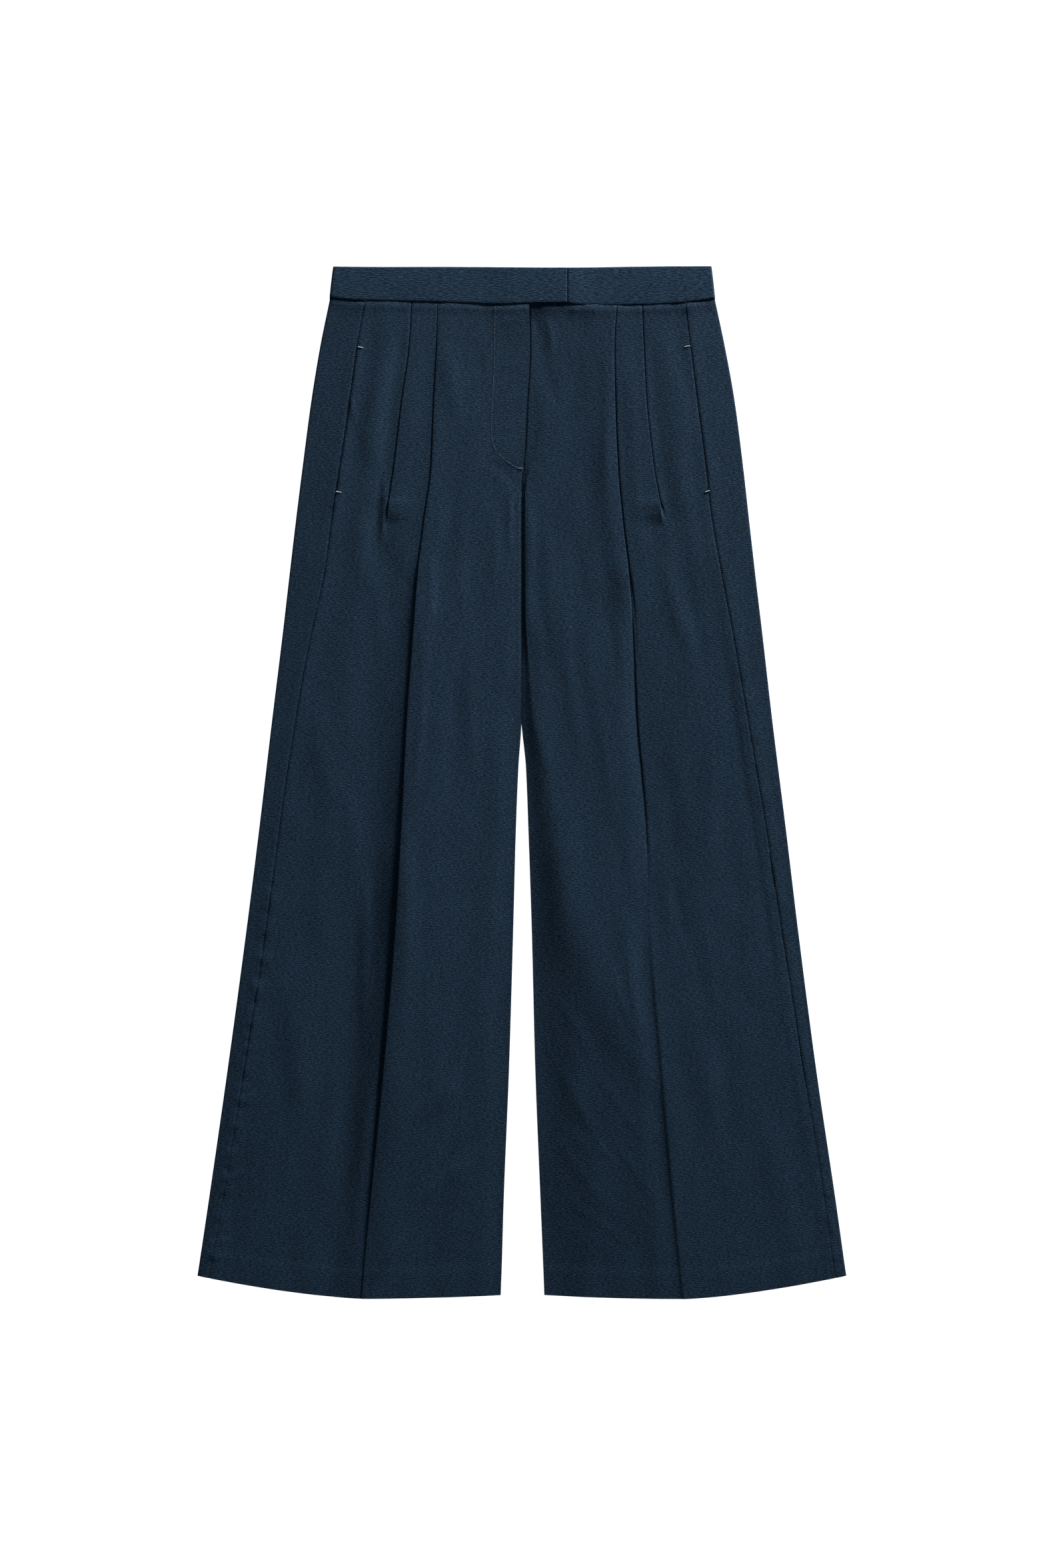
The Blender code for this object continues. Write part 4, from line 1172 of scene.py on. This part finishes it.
print("stage: floor, light and camera")
floorShape = bmesh.new()
bmesh.ops.create_grid(floorShape, x_segments=1, y_segments=1, size=studio["floorHalf"])
bmesh.ops.translate(floorShape, verts=floorShape.verts, vec=(0.0, 0.0, studio["floorLevel"]))
floor = toObject("floor", floorShape)
floorFinish, floorTree, floorShader = newTree("paleFloor")
toCamera = addNode(floorTree, "LightPath", {}).outputs["Is Camera Ray"]
feed(floorTree, floorShader, {
    "Base Color": studio["floorColour"],
    "Roughness": 0.9,
    "Specular IOR Level": 0.0,
    "Emission Color": (1.0, 1.0, 1.0, 1.0),    # the floor looks white and lights nothing
    "Emission Strength": mathNode(floorTree, "MULTIPLY", toCamera, studio["floorGlow"]),
})
dress(floor, floorFinish)

areaLight("keyLight", studio["key"])
areaLight("fillLight", studio["fill"])
sky = bpy.data.worlds.new("studioSky")
sky.use_nodes = True
skyTree = sky.node_tree
dim = skyTree.nodes["Background"]
feed(skyTree, dim, {"Color": studio["skyColour"], "Strength": studio["skyStrength"]})
backdrop = addNode(skyTree, "Background", {})    # what the camera sees past the floor
toCamera = addNode(skyTree, "LightPath", {}).outputs["Is Camera Ray"]
either = addNode(skyTree, "MixShader", {0: toCamera, 1: dim.outputs[0], 2: backdrop.outputs[0]})
feed(skyTree, skyTree.nodes["World Output"], {"Surface": either.outputs[0]})
bpy.context.scene.world = sky
bpy.context.scene.view_settings.view_transform = "Standard"

# the photograph's frame: 1568 by 2352 pixels of 0.68 mm at the garment, seen from straight above
photo = {
    "pixel": 0.68,
    "height": 2352,
    "centre": (784.0, 1176.0),  # of the picture, in its pixels
    "zero": (783.0, 1173.5),    # where the garment's middle lies in it
    "sensor": 36.0,
    "lens": 70.0,
    "garmentLevel": 0.004,      # of the cloth that the pixel's size holds for, in metres
}
cameraData = bpy.data.cameras.new("camera")
cameraData.sensor_fit = "VERTICAL"
cameraData.sensor_height = photo["sensor"]
cameraData.lens = photo["lens"]
pixel = photo["pixel"] * mm
distance = photo["height"] * pixel * cameraData.lens / cameraData.sensor_height
camera = bpy.data.objects.new("camera", cameraData)
bpy.context.scene.collection.objects.link(camera)
camera.location = ((photo["centre"][0] - photo["zero"][0]) * pixel,
                   (photo["zero"][1] - photo["centre"][1]) * pixel, distance + photo["garmentLevel"])
bpy.context.scene.camera = camera
